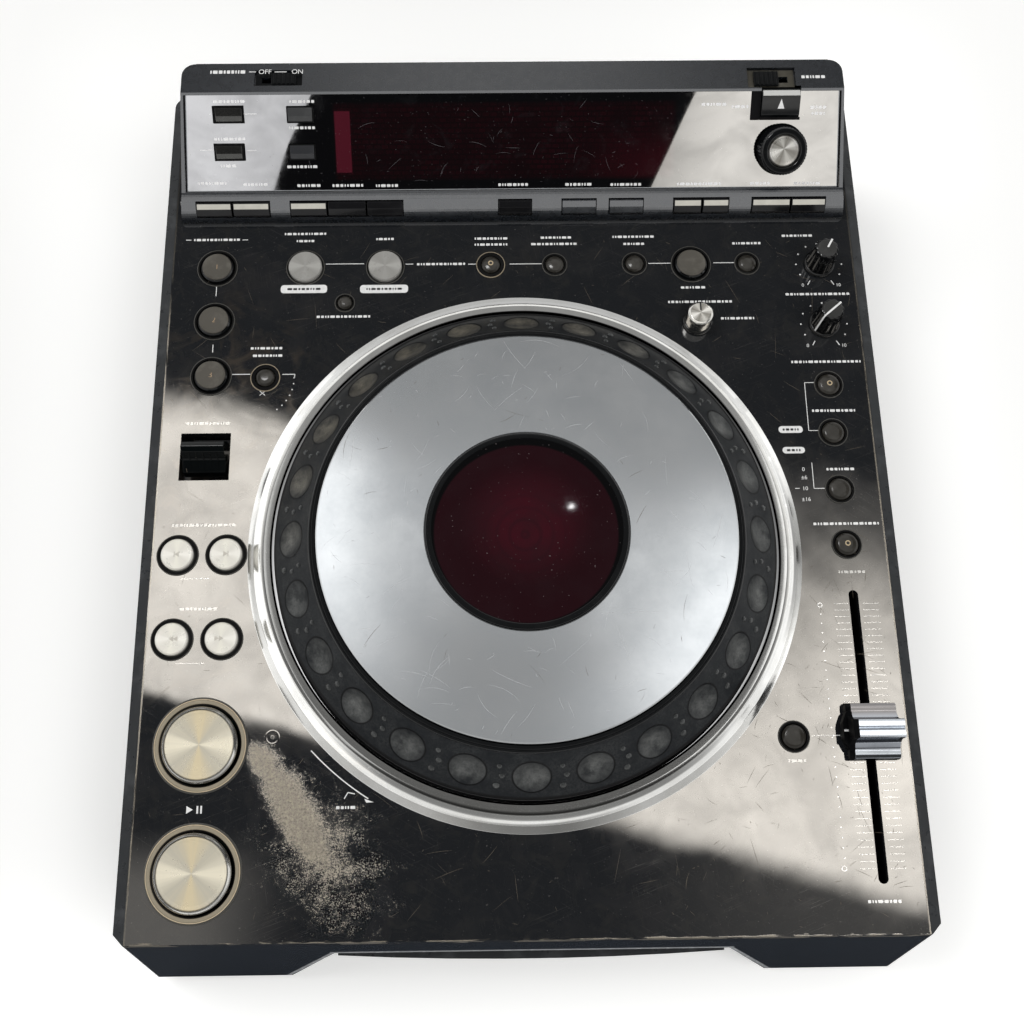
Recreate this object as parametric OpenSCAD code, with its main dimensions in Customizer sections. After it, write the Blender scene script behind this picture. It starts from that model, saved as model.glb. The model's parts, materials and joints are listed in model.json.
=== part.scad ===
// Tabletop disc player for DJs: a slot-loading deck with a big jog wheel, a raised
// display housing along the back and a long pitch fader at the right.
// +Z up, +Y to the back, origin on the table under the middle of the case.

/* [Case] */
// Width of the case
case_w = 320; // [300:1:350]
// Deck beside the bezel, for a column of controls at each side
side_w = 43; // [42:0.5:50]
// Deck between its front edge and the bezel
front_w = 39; // [37:0.5:50]
// Deck between the bezel and the display housing
rows_w = 39.4; // [38:0.1:50]
// Height of the deck over the table
deck_z = 70; // [68:1:80]
// Height of the rubber feet
foot_h = 10; // [8:1:13]
// Radius of the rubber feet
foot_r = 13; // [9:1:16]
// Distance from the case's edges to the middle of a foot
foot_inset = 32; // [28:1:40]
// Thickness of the case walls and floor
wall = 3; // [2:0.5:4]
// Width of the case rim that shows beside the deck plate
rim_w = 4.5; // [4:0.5:6]
// Drop of the rim's outer edge below the deck
rim_drop = 1; // [0.5:0.5:2]
// How far the front panel leans out from the deck's edge to its foot
front_lean = 15.5; // [12:0.5:18]
// Thickness of the front panel
fascia_t = 2.6; // [2:0.2:3]
// Chamfer of the two front corners
corner_cut = 4; // [2:0.5:5]
// Thickness of the deck plate
panel_t = 3; // [2:0.5:4]

/* [Disc slot] */
// Width of the panel's cut-out at its top
notch_top_w = 157; // [150:1:165]
// Width of the panel's cut-out at its foot
notch_low_w = 203; // [190:1:215]
// Height of the cut-out's top edge below the deck
notch_drop = 18; // [16:0.5:19]
// Height of the middle of the disc slot below the deck
slot_drop = 22; // [21.5:0.5:23]
// Width of the disc slot
slot_w = 132; // [126:1:140]
// Height of the disc slot
slot_h = 6; // [5:0.5:7]
// Reach of the lip under the slot from the wall behind it
lip_reach = 4.2; // [3:0.2:5]
// Bow of the lip from its ends to its middle
lip_bow = 2.2; // [1:0.2:2.8]

/* [Display housing] */
// Height of the housing over the deck
housing_h = 38; // [36:1:42]
// How far the housing's sides stand in from the case's sides
housing_in = 7.5; // [7:0.1:9]
// How far the housing's sides lean in up to its top
side_lean = 5.3; // [4:0.1:6]
// Depth of the flat strip along the top
strip_d = 15; // [14:0.5:17]
// How far the housing's back leans in
back_lean = 9.8; // [6:0.2:12]
// Tilt of the display window
window_tilt = 40; // [38:1:42]
// Length of the window down its slope
window_len = 43.3; // [42.5:0.1:44]
// Thickness of the window
window_t = 1.8; // [1.2:0.1:1.9]
// Wall of the housing
housing_t = 2.4; // [2:0.1:2.6]

/* [Jog wheel] */
// Distance of the jog's axis to the right of the case's middle
jog_x = 2; // [0:0.5:4]
// Gap between the dial and its bezel
dial_gap = 1; // [0.6:0.1:1.5]
// Width of the bezel
bezel_w = 11.5; // [9:0.1:13]
// Height of the bezel's crest over the deck
bezel_h = 9; // [7:0.5:11]
// Width of the rising face of the dial, seen from above
grip_w = 16.3; // [15:0.1:17]
// Height of the jog plate's top over the deck
plate_h = 29; // [28:0.5:31]
// Width of the dial's lip round the jog plate
lip_w = 3; // [2:0.1:4]
// Thickness of the jog plate
plate_t = 2; // [1.5:0.1:2.5]
// Radius of the lens in the middle of the jog plate
lens_r = 41; // [38:0.5:43]
// Number of finger dimples
dimples = 24; // [20:1:26]
// Radius of the spheres that cut the dimples
dimple_sphere_r = 20; // [18:0.5:24]
// Depth of a dimple
dimple_depth = 1.5; // [1:0.1:1.7]
// Radius of the jog's bearing post
post_r = 20; // [16:0.5:22]
// How far the jog plate presses down
plate_press = 0.6; // [0.3:0.1:0.6]

/* [Buttons] */
// Radius of the play and cue caps
play_r = 15.4; // [14:0.1:16]
// Outer radius of the light rings round play and cue
play_ring_r = 19.3; // [18:0.1:20]
// Radius of the track and search caps
track_r = 6.8; // [6:0.1:7]
// Radius of the hot cue, in, out and memory caps
cue_r = 7.6; // [7:0.1:8]
// Radius of the small caps in the right column
small_r = 4.9; // [4.4:0.1:5.2]
// Radius of the tiny caps in the top row
tiny_r = 4.2; // [3.8:0.1:4.5]
// Width of the collar round a cap
collar_w = 1.3; // [0.8:0.1:1.5]
// Travel of the buttons and keys
press = 1.2; // [0.6:0.1:1.3]
// Height of the round caps over the deck
cap_rise = 2; // [1:0.1:3]

/* [Levers, knobs and fader] */
// Width of the fader's slot
slot_gap = 4; // [3.5:0.1:5]
// Length of the fader's slot
fader_slot_l = 117.4; // [114:0.2:120]
// Side of the square fader knob
fader_knob_w = 23; // [20:0.5:24]
// Height of the fader knob over the deck
fader_knob_h = 13; // [11:0.5:15]
// Radius of the two pointer knobs
pointer_r = 7.2; // [6.5:0.1:8]
// Height of the two pointer knobs over the deck
pointer_h = 15; // [12:0.5:17]
// Radius of the metal touch knob
touch_r = 6.6; // [6:0.1:7]
// Height of the metal touch knob over the deck
touch_h = 10; // [8:0.5:12]
// Radius of the selector knob in the window
selector_r = 10.9; // [10:0.1:11]
// Side of the square well of the direction lever
lever_well = 21.6; // [20:0.2:22]
// Radius of the knobs' shafts
shaft_r = 3; // [2.5:0.1:3.2]

/* [Disc drive] */
// Radius of the turntable's hub, which a disc's hole fits over
hub_r = 7.4; // [7.2:0.05:7.45]
// Radius of the rubber loading roller
roller_r = 4; // [3.5:0.1:4.1]
// Radius of the drive's shafts and rails
rod_r = 1.5; // [1.2:0.1:1.8]

/* [Fits] */
// Gap round a button or key
key_gap = 0.3; // [0.25:0.05:0.4]
// Radial clearance of a shaft in its bearing
run_gap = 0.05; // [0.02:0.01:0.08]
// Radial clearance of a screw in its hole
screw_gap = 0.1; // [0.05:0.05:0.2]

/* [Hidden] */
$fn = 64;

// Case: main planes and lines
jack_reach = 4;
case_x = case_w / 2;
panel_x = case_x - rim_w;
bezel_r = case_x - side_w;
nose_r = housing_h - window_len * sin(window_tilt);
housing_d = nose_r + window_len * cos(window_tilt) + strip_d + back_lean;
// Depth from the foot of the front panel to the tips of the rear jacks
case_d = front_lean + front_w + 2 * bezel_r + rows_w + housing_d + jack_reach;
front_y = -case_d / 2;
back_y = case_d / 2 - jack_reach;
deck_front = front_y + front_lean;
under_z = deck_z - panel_t;
lean_angle = atan2(front_lean, deck_z - foot_h);
floor_z = foot_h + wall;
ledge_w = 2.6;
ledge_t = 5;

// Front: a point on the leaning front plane, pushed back by d
function front_at(z, d = 0) = deck_front - front_lean * (deck_z - z) / (deck_z - foot_h)
    + d / cos(lean_angle);
front_wall = 2.4;
notch_z = deck_z - notch_drop;
slot_z = deck_z - slot_drop;
lip_top_z = slot_z - slot_h / 2 - 1;
lip_x = notch_top_w / 2 - 0.5;
mouth_y = front_at(lip_top_z, fascia_t);
lip_y = mouth_y - lip_reach;
lip_ball = (lip_x * lip_x + lip_bow * lip_bow) / (2 * lip_bow);

// Housing: profile corners
top_z = deck_z + housing_h;
rear_top_y = back_y - back_lean;
crest_y = rear_top_y - strip_d;
win_y = crest_y - window_len * cos(window_tilt);
win_z = top_z - window_len * sin(window_tilt);
nose_y = win_y - nose_r;
housing_low_x = case_x - housing_in;
housing_top_x = housing_low_x - side_lean;
housing_taper = side_lean / housing_h;
frame_w = 1.6;
window_sink = 0.3;
seat_t = 2;

// Jog wheel, all heights over the deck
jog_y = deck_front + front_w + bezel_r;
bezel_in_r = bezel_r - bezel_w;
dial_r = bezel_in_r - dial_gap;
skirt_t = 2.2;
pan_r = bezel_in_r + skirt_t + 4;
pan_z = -8;
pan_t = 2;
dial_low = bezel_h - 3.5;
dial_shoulder = bezel_h + 0.3;
lip_out_r = dial_r - grip_w;
lip_in_r = lip_out_r - lip_w;
plate_r = lip_in_r - 0.4;
lip_h = plate_h - 1.2;
grip_top = lip_h - 2;
shell_t = 3.4;
seat_r = lens_r + 3;
recess_h = plate_h - plate_t - 0.3 - plate_press;
pocket_h = recess_h - 6;
hub_low = 10;
web_h = pocket_h - 3;
peg_r = 1.5;
peg_circle = (seat_r + lip_in_r) / 2;

// Rows and columns of the deck's controls
left_x = -case_x + 25;
right_x = case_x - 21.5;
big_x = left_x + 4.7;
track_pitch = 20.5;
track_x = left_x + 0.75;
top_row = nose_y - 23;
play_y = deck_front + 26;
fader_end = 18.7;
fader_y = deck_front + fader_end + fader_slot_l / 2;

// Left column from play to the top row: steps, stretched to the depth of the deck
cue_step = 49.3;
search_step = 43.2;
track_step = 36;
lever_step = 44;
hot_step = 37.7;
hot_pitch = 26.6;
left_run = cue_step + search_step + track_step + lever_step + hot_step + 2 * hot_pitch;
left_ease = (top_row - play_y) / left_run;
cue_y = play_y + cue_step * left_ease;
search_y = cue_y + search_step * left_ease;
track_y = search_y + track_step * left_ease;
lever_y = track_y + lever_step * left_ease;
hot_c_y = lever_y + hot_step * left_ease;
hot_b_y = hot_c_y + hot_pitch * left_ease;

// Right column from the top row down to the fader: steps, stretched the same way
start_step = 30.5;
mode_step = 29.5;
vinyl_step = 22.6;
range_step = 26.1;
lock_step = 24.5;
lock_gap = 20;
right_run = start_step + mode_step + vinyl_step + range_step + lock_step;
right_ease = (top_row - fader_y - fader_slot_l / 2 - lock_gap) / right_run;
start_y = top_row - start_step * right_ease;
mode_y = start_y - mode_step * right_ease;
vinyl_y = mode_y - vinyl_step * right_ease;
range_y = vinyl_y - range_step * right_ease;
lock_y = range_y - lock_step * right_ease;

// Round buttons: x, y, cap radius, collar width
HOT_A = [left_x, top_row, cue_r, collar_w];
HOT_B = [left_x, hot_b_y, cue_r, collar_w];
HOT_C = [left_x, hot_c_y, cue_r, collar_w];
LOOP_JUMP = [left_x + 24, hot_c_y - 1, tiny_r, 2.1];
LOOP_IN = [left_x + 40, top_row, cue_r, collar_w - 0.4];
LOOP_OUT = [left_x + 76.3, top_row, cue_r, collar_w - 0.4];
RELOOP = [left_x + 58.3, top_row - 18, tiny_r - 0.9, collar_w - 0.3];
BEAT_DOWN = [-10.6, top_row + 0.6, tiny_r, 2.1];
BEAT_UP = [18.6, top_row + 0.4, tiny_r, collar_w];
CALL_BACK = [right_x - 83.4, top_row + 0.5, tiny_r, collar_w];
MEMORY = [right_x - 57.6, top_row, cue_r, collar_w];
CALL_NEXT = [right_x - 31.9, top_row + 0.2, tiny_r, collar_w];
JOG_MODE = [right_x - 0.3, mode_y, small_r, collar_w];
VINYL_MODE = [right_x - 0.6, vinyl_y, small_r, collar_w];
TEMPO_RANGE = [right_x - 0.2, range_y, small_r, collar_w];
KEY_LOCK = [right_x + 0.2, lock_y, small_r, collar_w];
fader_x = right_x + 0.7;
TEMPO_RESET = [fader_x - 30.2, fader_y - 1.6, small_r, collar_w];
TRACK_BACK = [track_x - track_pitch / 2, track_y, track_r, collar_w + 0.5];
TRACK_NEXT = [track_x + track_pitch / 2, track_y, track_r, collar_w + 0.5];
SEARCH_BACK = [track_x - track_pitch / 2, search_y, track_r, collar_w + 0.5];
SEARCH_NEXT = [track_x + track_pitch / 2, search_y, track_r, collar_w + 0.5];
CUE = [big_x, cue_y, play_r, play_ring_r - play_r - key_gap];
PLAY = [big_x, play_y, play_r, play_ring_r - play_r - key_gap];
DARK_BUTTONS = [HOT_A, HOT_B, HOT_C, LOOP_JUMP, LOOP_IN, LOOP_OUT, RELOOP, BEAT_DOWN, BEAT_UP,
    CALL_BACK, MEMORY, CALL_NEXT, JOG_MODE, VINYL_MODE, TEMPO_RANGE, KEY_LOCK, TEMPO_RESET,
    TRACK_BACK, TRACK_NEXT, SEARCH_BACK, SEARCH_NEXT];
BIG_BUTTONS = [CUE, PLAY];
collar_rise = 0.5;
flange_w = 1;
flange_t = 1.2;
big_rise = 3.4;

// Control boards under the deck, heights over the deck
board_h = -12;
board_t = 1.6;
switch_h = 2;
stem_r = 2.4;
stem_end = board_h + switch_h + press + 0.5;
boss_r = 2.5;

// Knobs: x, y
TOUCH = [right_x - 56.5, top_row - 29];
BRAKE = [right_x + 1, top_row - 0.5];
START = [right_x + 0.5, start_y];
POTS = [TOUCH, BRAKE, START];
pot_side = 12;
pot_top = -panel_t - key_gap - 0.2;
shaft_end = board_h + 2;

// Fader
fader_top = -panel_t - 0.1;
fader_body_w = 15;
fader_stem_t = slot_gap - 1;
fader_stem_l = 8;
fader_stem_end = board_h + 3;

// Direction lever
lever_x = left_x - 0.6;
well_t = 2;
well_h = -13.5;
lever_axis_h = -7;
lever_w = lever_well - 3;

// Keys and controls in the window: x, distance up the slope, width of a key
key_w = 12.8;
key_l = 6.8;
upper_keys = window_len - 9.4;
lower_keys = upper_keys - 16.2;
WINDOW_LEFT = [[25.2 - housing_low_x, upper_keys, key_w], [25.2 - housing_low_x, lower_keys, key_w]];
WINDOW_RIGHT = [[57.5 - housing_low_x, upper_keys - 0.2, key_w - 1.8],
    [57.5 - housing_low_x, lower_keys - 0.2, key_w - 1.8]];
SELECTOR = [housing_low_x - 31.6, window_len - 26.2];
EJECT = [housing_low_x - 33.3, window_len - 6.9];
eject_w = 17;
eject_l = 10.4;
window_rise = 1;
comb_t = 1.6;
comb_h = -housing_t - seat_t - 2.4;
module_h = -13;
module_t = 1.6;
module_in = 16.5;
tube_left = 72.2 - housing_low_x;
tube_right = housing_low_x - 78.8;
tube_low = 3.4;
tube_high = window_len - 3.8;

// Keys on the housing's ledge: left end and right end of each key's cell
ledge_key_l = 7;
function row_from(x, spans) = [for (s = spans) [x + s[0], x + s[1]]];
LEDGE_A = row_from(7.7 - housing_low_x, [[0, 16.7], [16.7, 33.9]]);
LEDGE_B = row_from(50.5 - housing_low_x, [[0, 17.2], [17.2, 35], [35, 51.9]]);
LEDGE_D = row_from(housing_low_x - 79.3, [[0, 13.3], [13.3, 25.8], [35.9, 53.9], [53.9, 70.1]]);
ledge_c_w = 66.7;
ledge_room = LEDGE_D[0][0] - LEDGE_B[2][1] - ledge_c_w;
LEDGE_C = row_from(LEDGE_B[2][1] + 0.763 * ledge_room, [[0, 15.6], [29, 45.1], [50.6, ledge_c_w]]);
ledge_angle = 45;
ledge_rise = 1;

// Slide switches on the strip: recess x, y, width, length
LOCK_RECESS = [housing_top_x - 32.1, crest_y + 5.7, 21.4, 10.2];
POWER_RECESS = [43 - housing_top_x, crest_y + 7.3, 21.2, 8];
recess_d = 1.9;
slider_w = 11;
slider_travel = 4.5;

// Rear panel
rear_x = case_x - 14;
rear_low = floor_z + 2;
rear_high = deck_z - 9;
rear_t = 1.5;
jack_r = 4.15;
jack_z = (rear_low + rear_high) / 2 + 8;
INLET = [38 - rear_x, jack_z - 8, 28, 20];
AUDIO = [[60, jack_z], [60, jack_z - 16]];
VIDEO = [[20, jack_z - 8], [0, jack_z - 8], [-20, jack_z - 8]];
CONTROL = [[90, jack_z - 8], [104, jack_z - 8], [-48, jack_z - 8]];
screw_r = 1.5;
head_r = 2.8;
rear_screw_x = rear_x - 5;

// Disc drive: places and heights over the table
drive_x = jog_x;
spindle_y = front_at(slot_z) + 90;
frame_low = floor_z + 3;
frame_t = 2;
frame_half = slot_w / 2 + 6;
frame_front = front_at(slot_z, fascia_t + front_wall) + 1;
frame_back = spindle_y + 74;
disc_low = slot_z - 1.5;
platform_z = disc_low - 0.4;
roller_y = frame_front + 9;
roller_z = disc_low - roller_r - 0.6;
bridge_gap = 6;
sled_y = spindle_y + 26;
sled_l = 14;
sled_t = 7;
eye_r = 4;
rail_x = 22;
rail_z = frame_low + 16;
rail_end = 7;
motor_r = 13;
platform_r = hub_r + 7;
platform_t = 3;

// Boards on the floor of the case
main_board_z = floor_z + 8;
main_board_x = case_x - 28;
main_front = frame_back + 56;
main_back = back_y - 30;
power_front = frame_front + 59;
power_back = frame_back + 21;
chip_w = 30;
chip_t = 4;
chip_pitch = 60;
transformer_w = 38;
transformer_h = 24;
capacitor_r = 5.5;
capacitor_h = 22;

// Solid between two heights over the table, from a plan drawn in XY
module slab(z0, z1) {
    translate([0, 0, z0])
        linear_extrude(z1 - z0) children();
}

// Side profile drawn as [y, z] points, extruded from x0 to x1
module profile(points, x0, x1) {
    translate([x0, 0, 0])
        rotate([90, 0, 90])
            linear_extrude(x1 - x0) polygon(points);
}

module box(x0, x1, y0, y1, z0, z1) {
    translate([x0, y0, z0]) cube([x1 - x0, y1 - y0, z1 - z0]);
}

module rod(x, y, z0, z1, r, sides = 64) {
    translate([x, y, z0]) cylinder(h = z1 - z0, r = r, $fn = sides);
}

// Frame on the window's slope: x across, y up the slope, z out of the face
module on_window() {
    translate([0, win_y, win_z]) rotate([window_tilt, 0, 0]) children();
}

// Frame on the rounded ledge: z out of it at the ledge angle
module on_ledge() {
    translate([0, win_y, deck_z]) rotate([ledge_angle, 0, 0]) translate([0, 0, nose_r]) children();
}

module case_front_corners() {
    for (side = [-1, 1])
        translate([side * case_x, deck_front, deck_z])
            rotate([-lean_angle, 0, 0])
                rotate([0, 0, 45])
                    cube([corner_cut * sqrt(2), corner_cut * sqrt(2), 4 * deck_z], center = true);
}

module case_rear_corners() {
    r = 5;
    for (side = [-1, 1])
        difference() {
            translate([side * case_x, back_y, deck_z / 2])
                cube([2 * r, 2 * r, 2 * deck_z], center = true);
            rod(side * (case_x - r), back_y - r, -deck_z, 2 * deck_z, r);
        }
}

module rim_bevels() {
    for (side = [-1, 1])
        translate([side * (panel_x + 0.4), 0, deck_z])
            rotate([0, side * atan2(rim_drop, rim_w), 0])
                translate([side * rim_w, 0, rim_w])
                    cube([2 * rim_w, 3 * case_d, 2 * rim_w], center = true);
}

module notch_outline(grow = 0) {
    low = notch_low_w / 2 + grow;
    high = notch_top_w / 2 + grow;
    polygon([[-low, foot_h - 1], [low, foot_h - 1], [high, notch_z + grow], [-high, notch_z + grow]]);
}

module notch_prism(grow = 0) {
    translate([jog_x, front_y + front_lean * 2, 0])
        rotate([90, 0, 0])
            linear_extrude(front_lean * 3) notch_outline(grow);
}

module mouth_lip() {
    intersection() {
        box(jog_x - lip_x, jog_x + lip_x, lip_y - 1, mouth_y + 1, foot_h, lip_top_z);
        rod(jog_x, lip_y + lip_ball, 0, deck_z, lip_ball, 720);
    }
}

module lower_case() {
    inner_x = case_x - wall;
    color([0.10, 0.10, 0.11])
        difference() {
            union() {
                difference() {
                    profile([[front_y, foot_h], [back_y, foot_h], [back_y, deck_z],
                        [deck_front, deck_z]], -case_x, case_x);
                    // room behind the walls and up to the deck plate's ledge
                    profile([[front_at(floor_z, fascia_t + front_wall), floor_z],
                        [back_y - wall, floor_z], [back_y - wall, under_z - ledge_t],
                        [front_at(under_z - ledge_t, fascia_t + front_wall), under_z - ledge_t]],
                        -inner_x, inner_x);
                    profile([[front_at(under_z - ledge_t, fascia_t + front_wall), under_z - ledge_t - 1],
                        [back_y - wall, under_z - ledge_t - 1], [back_y - wall, deck_z + 1],
                        [front_at(under_z, fascia_t + front_wall), deck_z + 1]],
                        -panel_x + ledge_w, panel_x - ledge_w);
                    // seats of the deck plate and of the front panel
                    profile([[deck_front - 5, under_z], [back_y - wall, under_z],
                        [back_y - wall, deck_z + 1], [deck_front - 5, deck_z + 1]], -panel_x, panel_x);
                    profile([[front_at(foot_h - 1) - 1, foot_h - 1], [front_at(foot_h - 1, fascia_t), foot_h - 1],
                        [front_at(deck_z + 1, fascia_t), deck_z + 1], [front_at(deck_z + 1) - 1, deck_z + 1]],
                        -panel_x, panel_x);
                }
                // upright wall of the mouth, behind the panel's cut-out, and its bowed lip
                intersection() {
                    notch_prism(wall);
                    profile([[front_at(foot_h, fascia_t), foot_h], [mouth_y + front_wall, foot_h],
                        [mouth_y + front_wall, lip_top_z + 2],
                        [front_at(lip_top_z + 2, fascia_t), lip_top_z + 2]], -case_x, case_x);
                }
                mouth_lip();
                // pillars for the boards and the drive
                for (p = board_pillars()) rod(p[0], p[1], foot_h + 1, p[2], 3.5);
            }
            case_front_corners();
            case_rear_corners();
            rim_bevels();
            // open mouth in front of that wall, up to its bowed lip
            difference() {
                intersection() {
                    notch_prism();
                    box(-case_x, case_x, 2 * front_y, mouth_y, 0, deck_z);
                }
                mouth_lip();
            }
            box(jog_x - slot_w / 2, jog_x + slot_w / 2, front_y, frame_front,
                slot_z - slot_h / 2, slot_z + slot_h / 2);
            // rear opening and the seat of the rear panel
            box(-rear_x, rear_x, back_y - rear_t, back_y + 1, rear_low, rear_high);
            box(-rear_x + 9, rear_x - 9, back_y - 2 * wall, back_y + 1, rear_low + 4, rear_high - 4);
            for (p = rear_screws())
                translate([p[0], back_y - 2 * wall, p[1]])
                    rotate([-90, 0, 0]) cylinder(h = 3 * wall, r = screw_r + screw_gap);
            for (p = foot_places())
                rod(p[0], p[1], 0, floor_z + 1, screw_r + screw_gap);
        }
}

function foot_places() = [for (sx = [-1, 1], y = [front_y + foot_inset + 4, back_y - foot_inset])
    [sx * (case_x - foot_inset), y]];
function rear_screws() = [for (sx = [-1, 0, 1], z = [rear_low + 2.2, rear_high - 2.2])
    [sx * rear_screw_x, z]];
function board_pillars() = concat(
    [for (sx = [-1, 1], y = [main_front + 10, main_back - 16])
        [sx * (main_board_x - 12), y, main_board_z]],
    [for (y = [power_front + 15, power_back - 15]) [case_x - 40, y, main_board_z]],
    [for (sx = [-1, 1], y = [frame_front + 14, frame_back - 10])
        [drive_x + sx * (frame_half - 8), y, frame_low]]);

module front_fascia() {
    color([0.06, 0.07, 0.09])
        difference() {
            profile([[front_at(foot_h), foot_h], [front_at(foot_h, fascia_t), foot_h],
                [front_at(under_z, fascia_t), under_z], [front_at(under_z), under_z]],
                -panel_x, panel_x);
            notch_prism();
            case_front_corners();
        }
}

module deck_panel() {
    color([0.09, 0.10, 0.12])
        difference() {
            union() {
                difference() {
                    profile([[front_at(under_z), under_z], [back_y - wall, under_z],
                        [back_y - wall, deck_z], [deck_front, deck_z]], -panel_x, panel_x);
                    rod(jog_x, jog_y, under_z - 1, deck_z + 1, bezel_in_r + skirt_t);
                    box(-housing_low_x + 8, housing_low_x - 8, win_y + 2, back_y - 2 * wall,
                        under_z - 1, deck_z + 1);
                }
                // walls of the direction lever's well
                box(lever_x - lever_well / 2 - well_t, lever_x + lever_well / 2 + well_t,
                    lever_y - lever_well / 2 - well_t, lever_y + lever_well / 2 + well_t,
                    deck_z + well_h, under_z);
                for (p = board_bosses()) rod(p[0], p[1], deck_z + board_h, under_z, boss_r);
            }
            case_front_corners();
            for (b = concat(DARK_BUTTONS, BIG_BUTTONS)) button_hole(b);
            for (p = POTS) rod(p[0], p[1], under_z - 1, deck_z + 1, shaft_r + key_gap);
            box(fader_x - slot_gap / 2, fader_x + slot_gap / 2, fader_y - fader_slot_l / 2 + slot_gap / 2,
                fader_y + fader_slot_l / 2 - slot_gap / 2, under_z - 1, deck_z + 1);
            for (s = [-1, 1])
                rod(fader_x, fader_y + s * (fader_slot_l - slot_gap) / 2, under_z - 1, deck_z + 1,
                    slot_gap / 2);
            box(lever_x - lever_well / 2, lever_x + lever_well / 2, lever_y - lever_well / 2,
                lever_y + lever_well / 2, deck_z + well_h + well_t, deck_z + 1);
            translate([lever_x - lever_well, lever_y, deck_z + lever_axis_h])
                rotate([0, 90, 0]) cylinder(h = 2 * lever_well, r = rod_r + run_gap);
        }
}

module button_hole(b) {
    rod(b[0], b[1], under_z - 1, deck_z + 1, b[2] + key_gap + b[3] - 0.3);
}

function board_bosses() = [[left_x + 12, (hot_b_y + hot_c_y) / 2],
    [left_x - 14, hot_c_y - hot_step * left_ease / 3],
    [left_x + 20, (track_y + lever_y) / 2 - 4], [left_x - 14, (cue_y + search_y) / 2 + 2.4],
    [left_x + 27, play_y - 8], [right_x - 19, (top_row + start_y) / 2],
    [right_x - 13, (range_y + lock_y) / 2], [right_x - 20, fader_y + 44],
    [right_x - 20, fader_y - 62], [left_x + 51, top_row + 12], [left_x + 99, top_row],
    [right_x - 101.5, top_row], [right_x - 70.5, top_row + 14]];

module housing_profile(inset) {
    d = inset;
    k = d * tan(window_tilt / 2);
    low = deck_z - (d > 0 ? 1 : 0);
    polygon(concat(
        [[back_y - d * 1.05, low], [rear_top_y - d * 1.05, top_z - d], [crest_y + k, top_z - d],
            [win_y + k, win_z - d]],
        [for (a = [90:6:180]) [win_y + (nose_r - d) * cos(a), deck_z + (nose_r - d) * sin(a)]],
        d > 0 ? [[win_y - nose_r + d, low]] : []));
}

module housing_sides(inset) {
    polygon([[-housing_low_x + inset - housing_taper, deck_z - 1],
        [housing_low_x - inset + housing_taper, deck_z - 1],
        [housing_top_x - inset - housing_taper, top_z + 1],
        [-housing_top_x + inset + housing_taper, top_z + 1]]);
}

module housing_block(inset) {
    intersection() {
        translate([-case_x, 0, 0])
            rotate([90, 0, 90])
                linear_extrude(case_w) housing_profile(inset);
        translate([0, back_y + 1, 0])
            rotate([90, 0, 0])
                linear_extrude(case_d / 2) housing_sides(inset);
    }
}

// Rounds the two back corners, along the leaning edge between back and side
module housing_back_corners() {
    r = 6;
    tip = atan2(back_lean, housing_h);
    side_tip = atan(housing_taper);
    for (side = [-1, 1])
        translate([side * housing_top_x, rear_top_y, top_z])
            rotate([tip, -side * side_tip, 0])
                difference() {
                    translate([0, 0, -housing_h])
                        cube([2 * r, 2 * r, 4 * housing_h], center = true);
                    translate([-side * r, -r, -3.5 * housing_h])
                        cylinder(h = 5 * housing_h, r = r);
                }
}

// Outline of the window with its sides parallel to the housing's
module window_outline(edge) {
    low = housing_low_x - housing_taper * (win_z - deck_z) - frame_w;
    high = housing_low_x - housing_taper * (top_z - deck_z) - frame_w + 0.6;
    polygon([[-low + edge, edge], [low - edge, edge], [high - edge, window_len - 1 - edge],
        [-high + edge, window_len - 1 - edge]]);
}

module window_cuts(gap, z0, z1) {
    for (k = concat(WINDOW_LEFT, WINDOW_RIGHT))
        box(k[0] - k[2] / 2 - gap, k[0] + k[2] / 2 + gap, k[1] - key_l / 2 - gap,
            k[1] + key_l / 2 + gap, z0, z1);
    rod(SELECTOR[0], SELECTOR[1], z0, z1, selector_r + gap + 0.1);
    box(EJECT[0] - eject_w / 2 - gap, EJECT[0] + eject_w / 2 + gap, EJECT[1] - eject_l / 2 - gap,
        window_len + 1, z0, z1);
}

module ledge_slots() {
    half = ledge_key_l / 2 + key_gap;
    for (k = concat(LEDGE_A, LEDGE_B, LEDGE_C, LEDGE_D))
        box(k[0] - 0.02, k[1] + 0.02, -half, half, -2 * nose_r, nose_r);
}

module slider_cuts() {
    for (s = [LOCK_RECESS, POWER_RECESS]) {
        box(s[0] - s[2] / 2, s[0] + s[2] / 2, s[1] - s[3] / 2, s[1] + s[3] / 2,
            top_z - recess_d, top_z + 1);
        box(s[0] - s[2] / 2 + 3, s[0] + s[2] / 2 - 3, s[1] - 1.5, s[1] + 1.5,
            top_z - 2 * housing_t, top_z + 1);
    }
}

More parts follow.
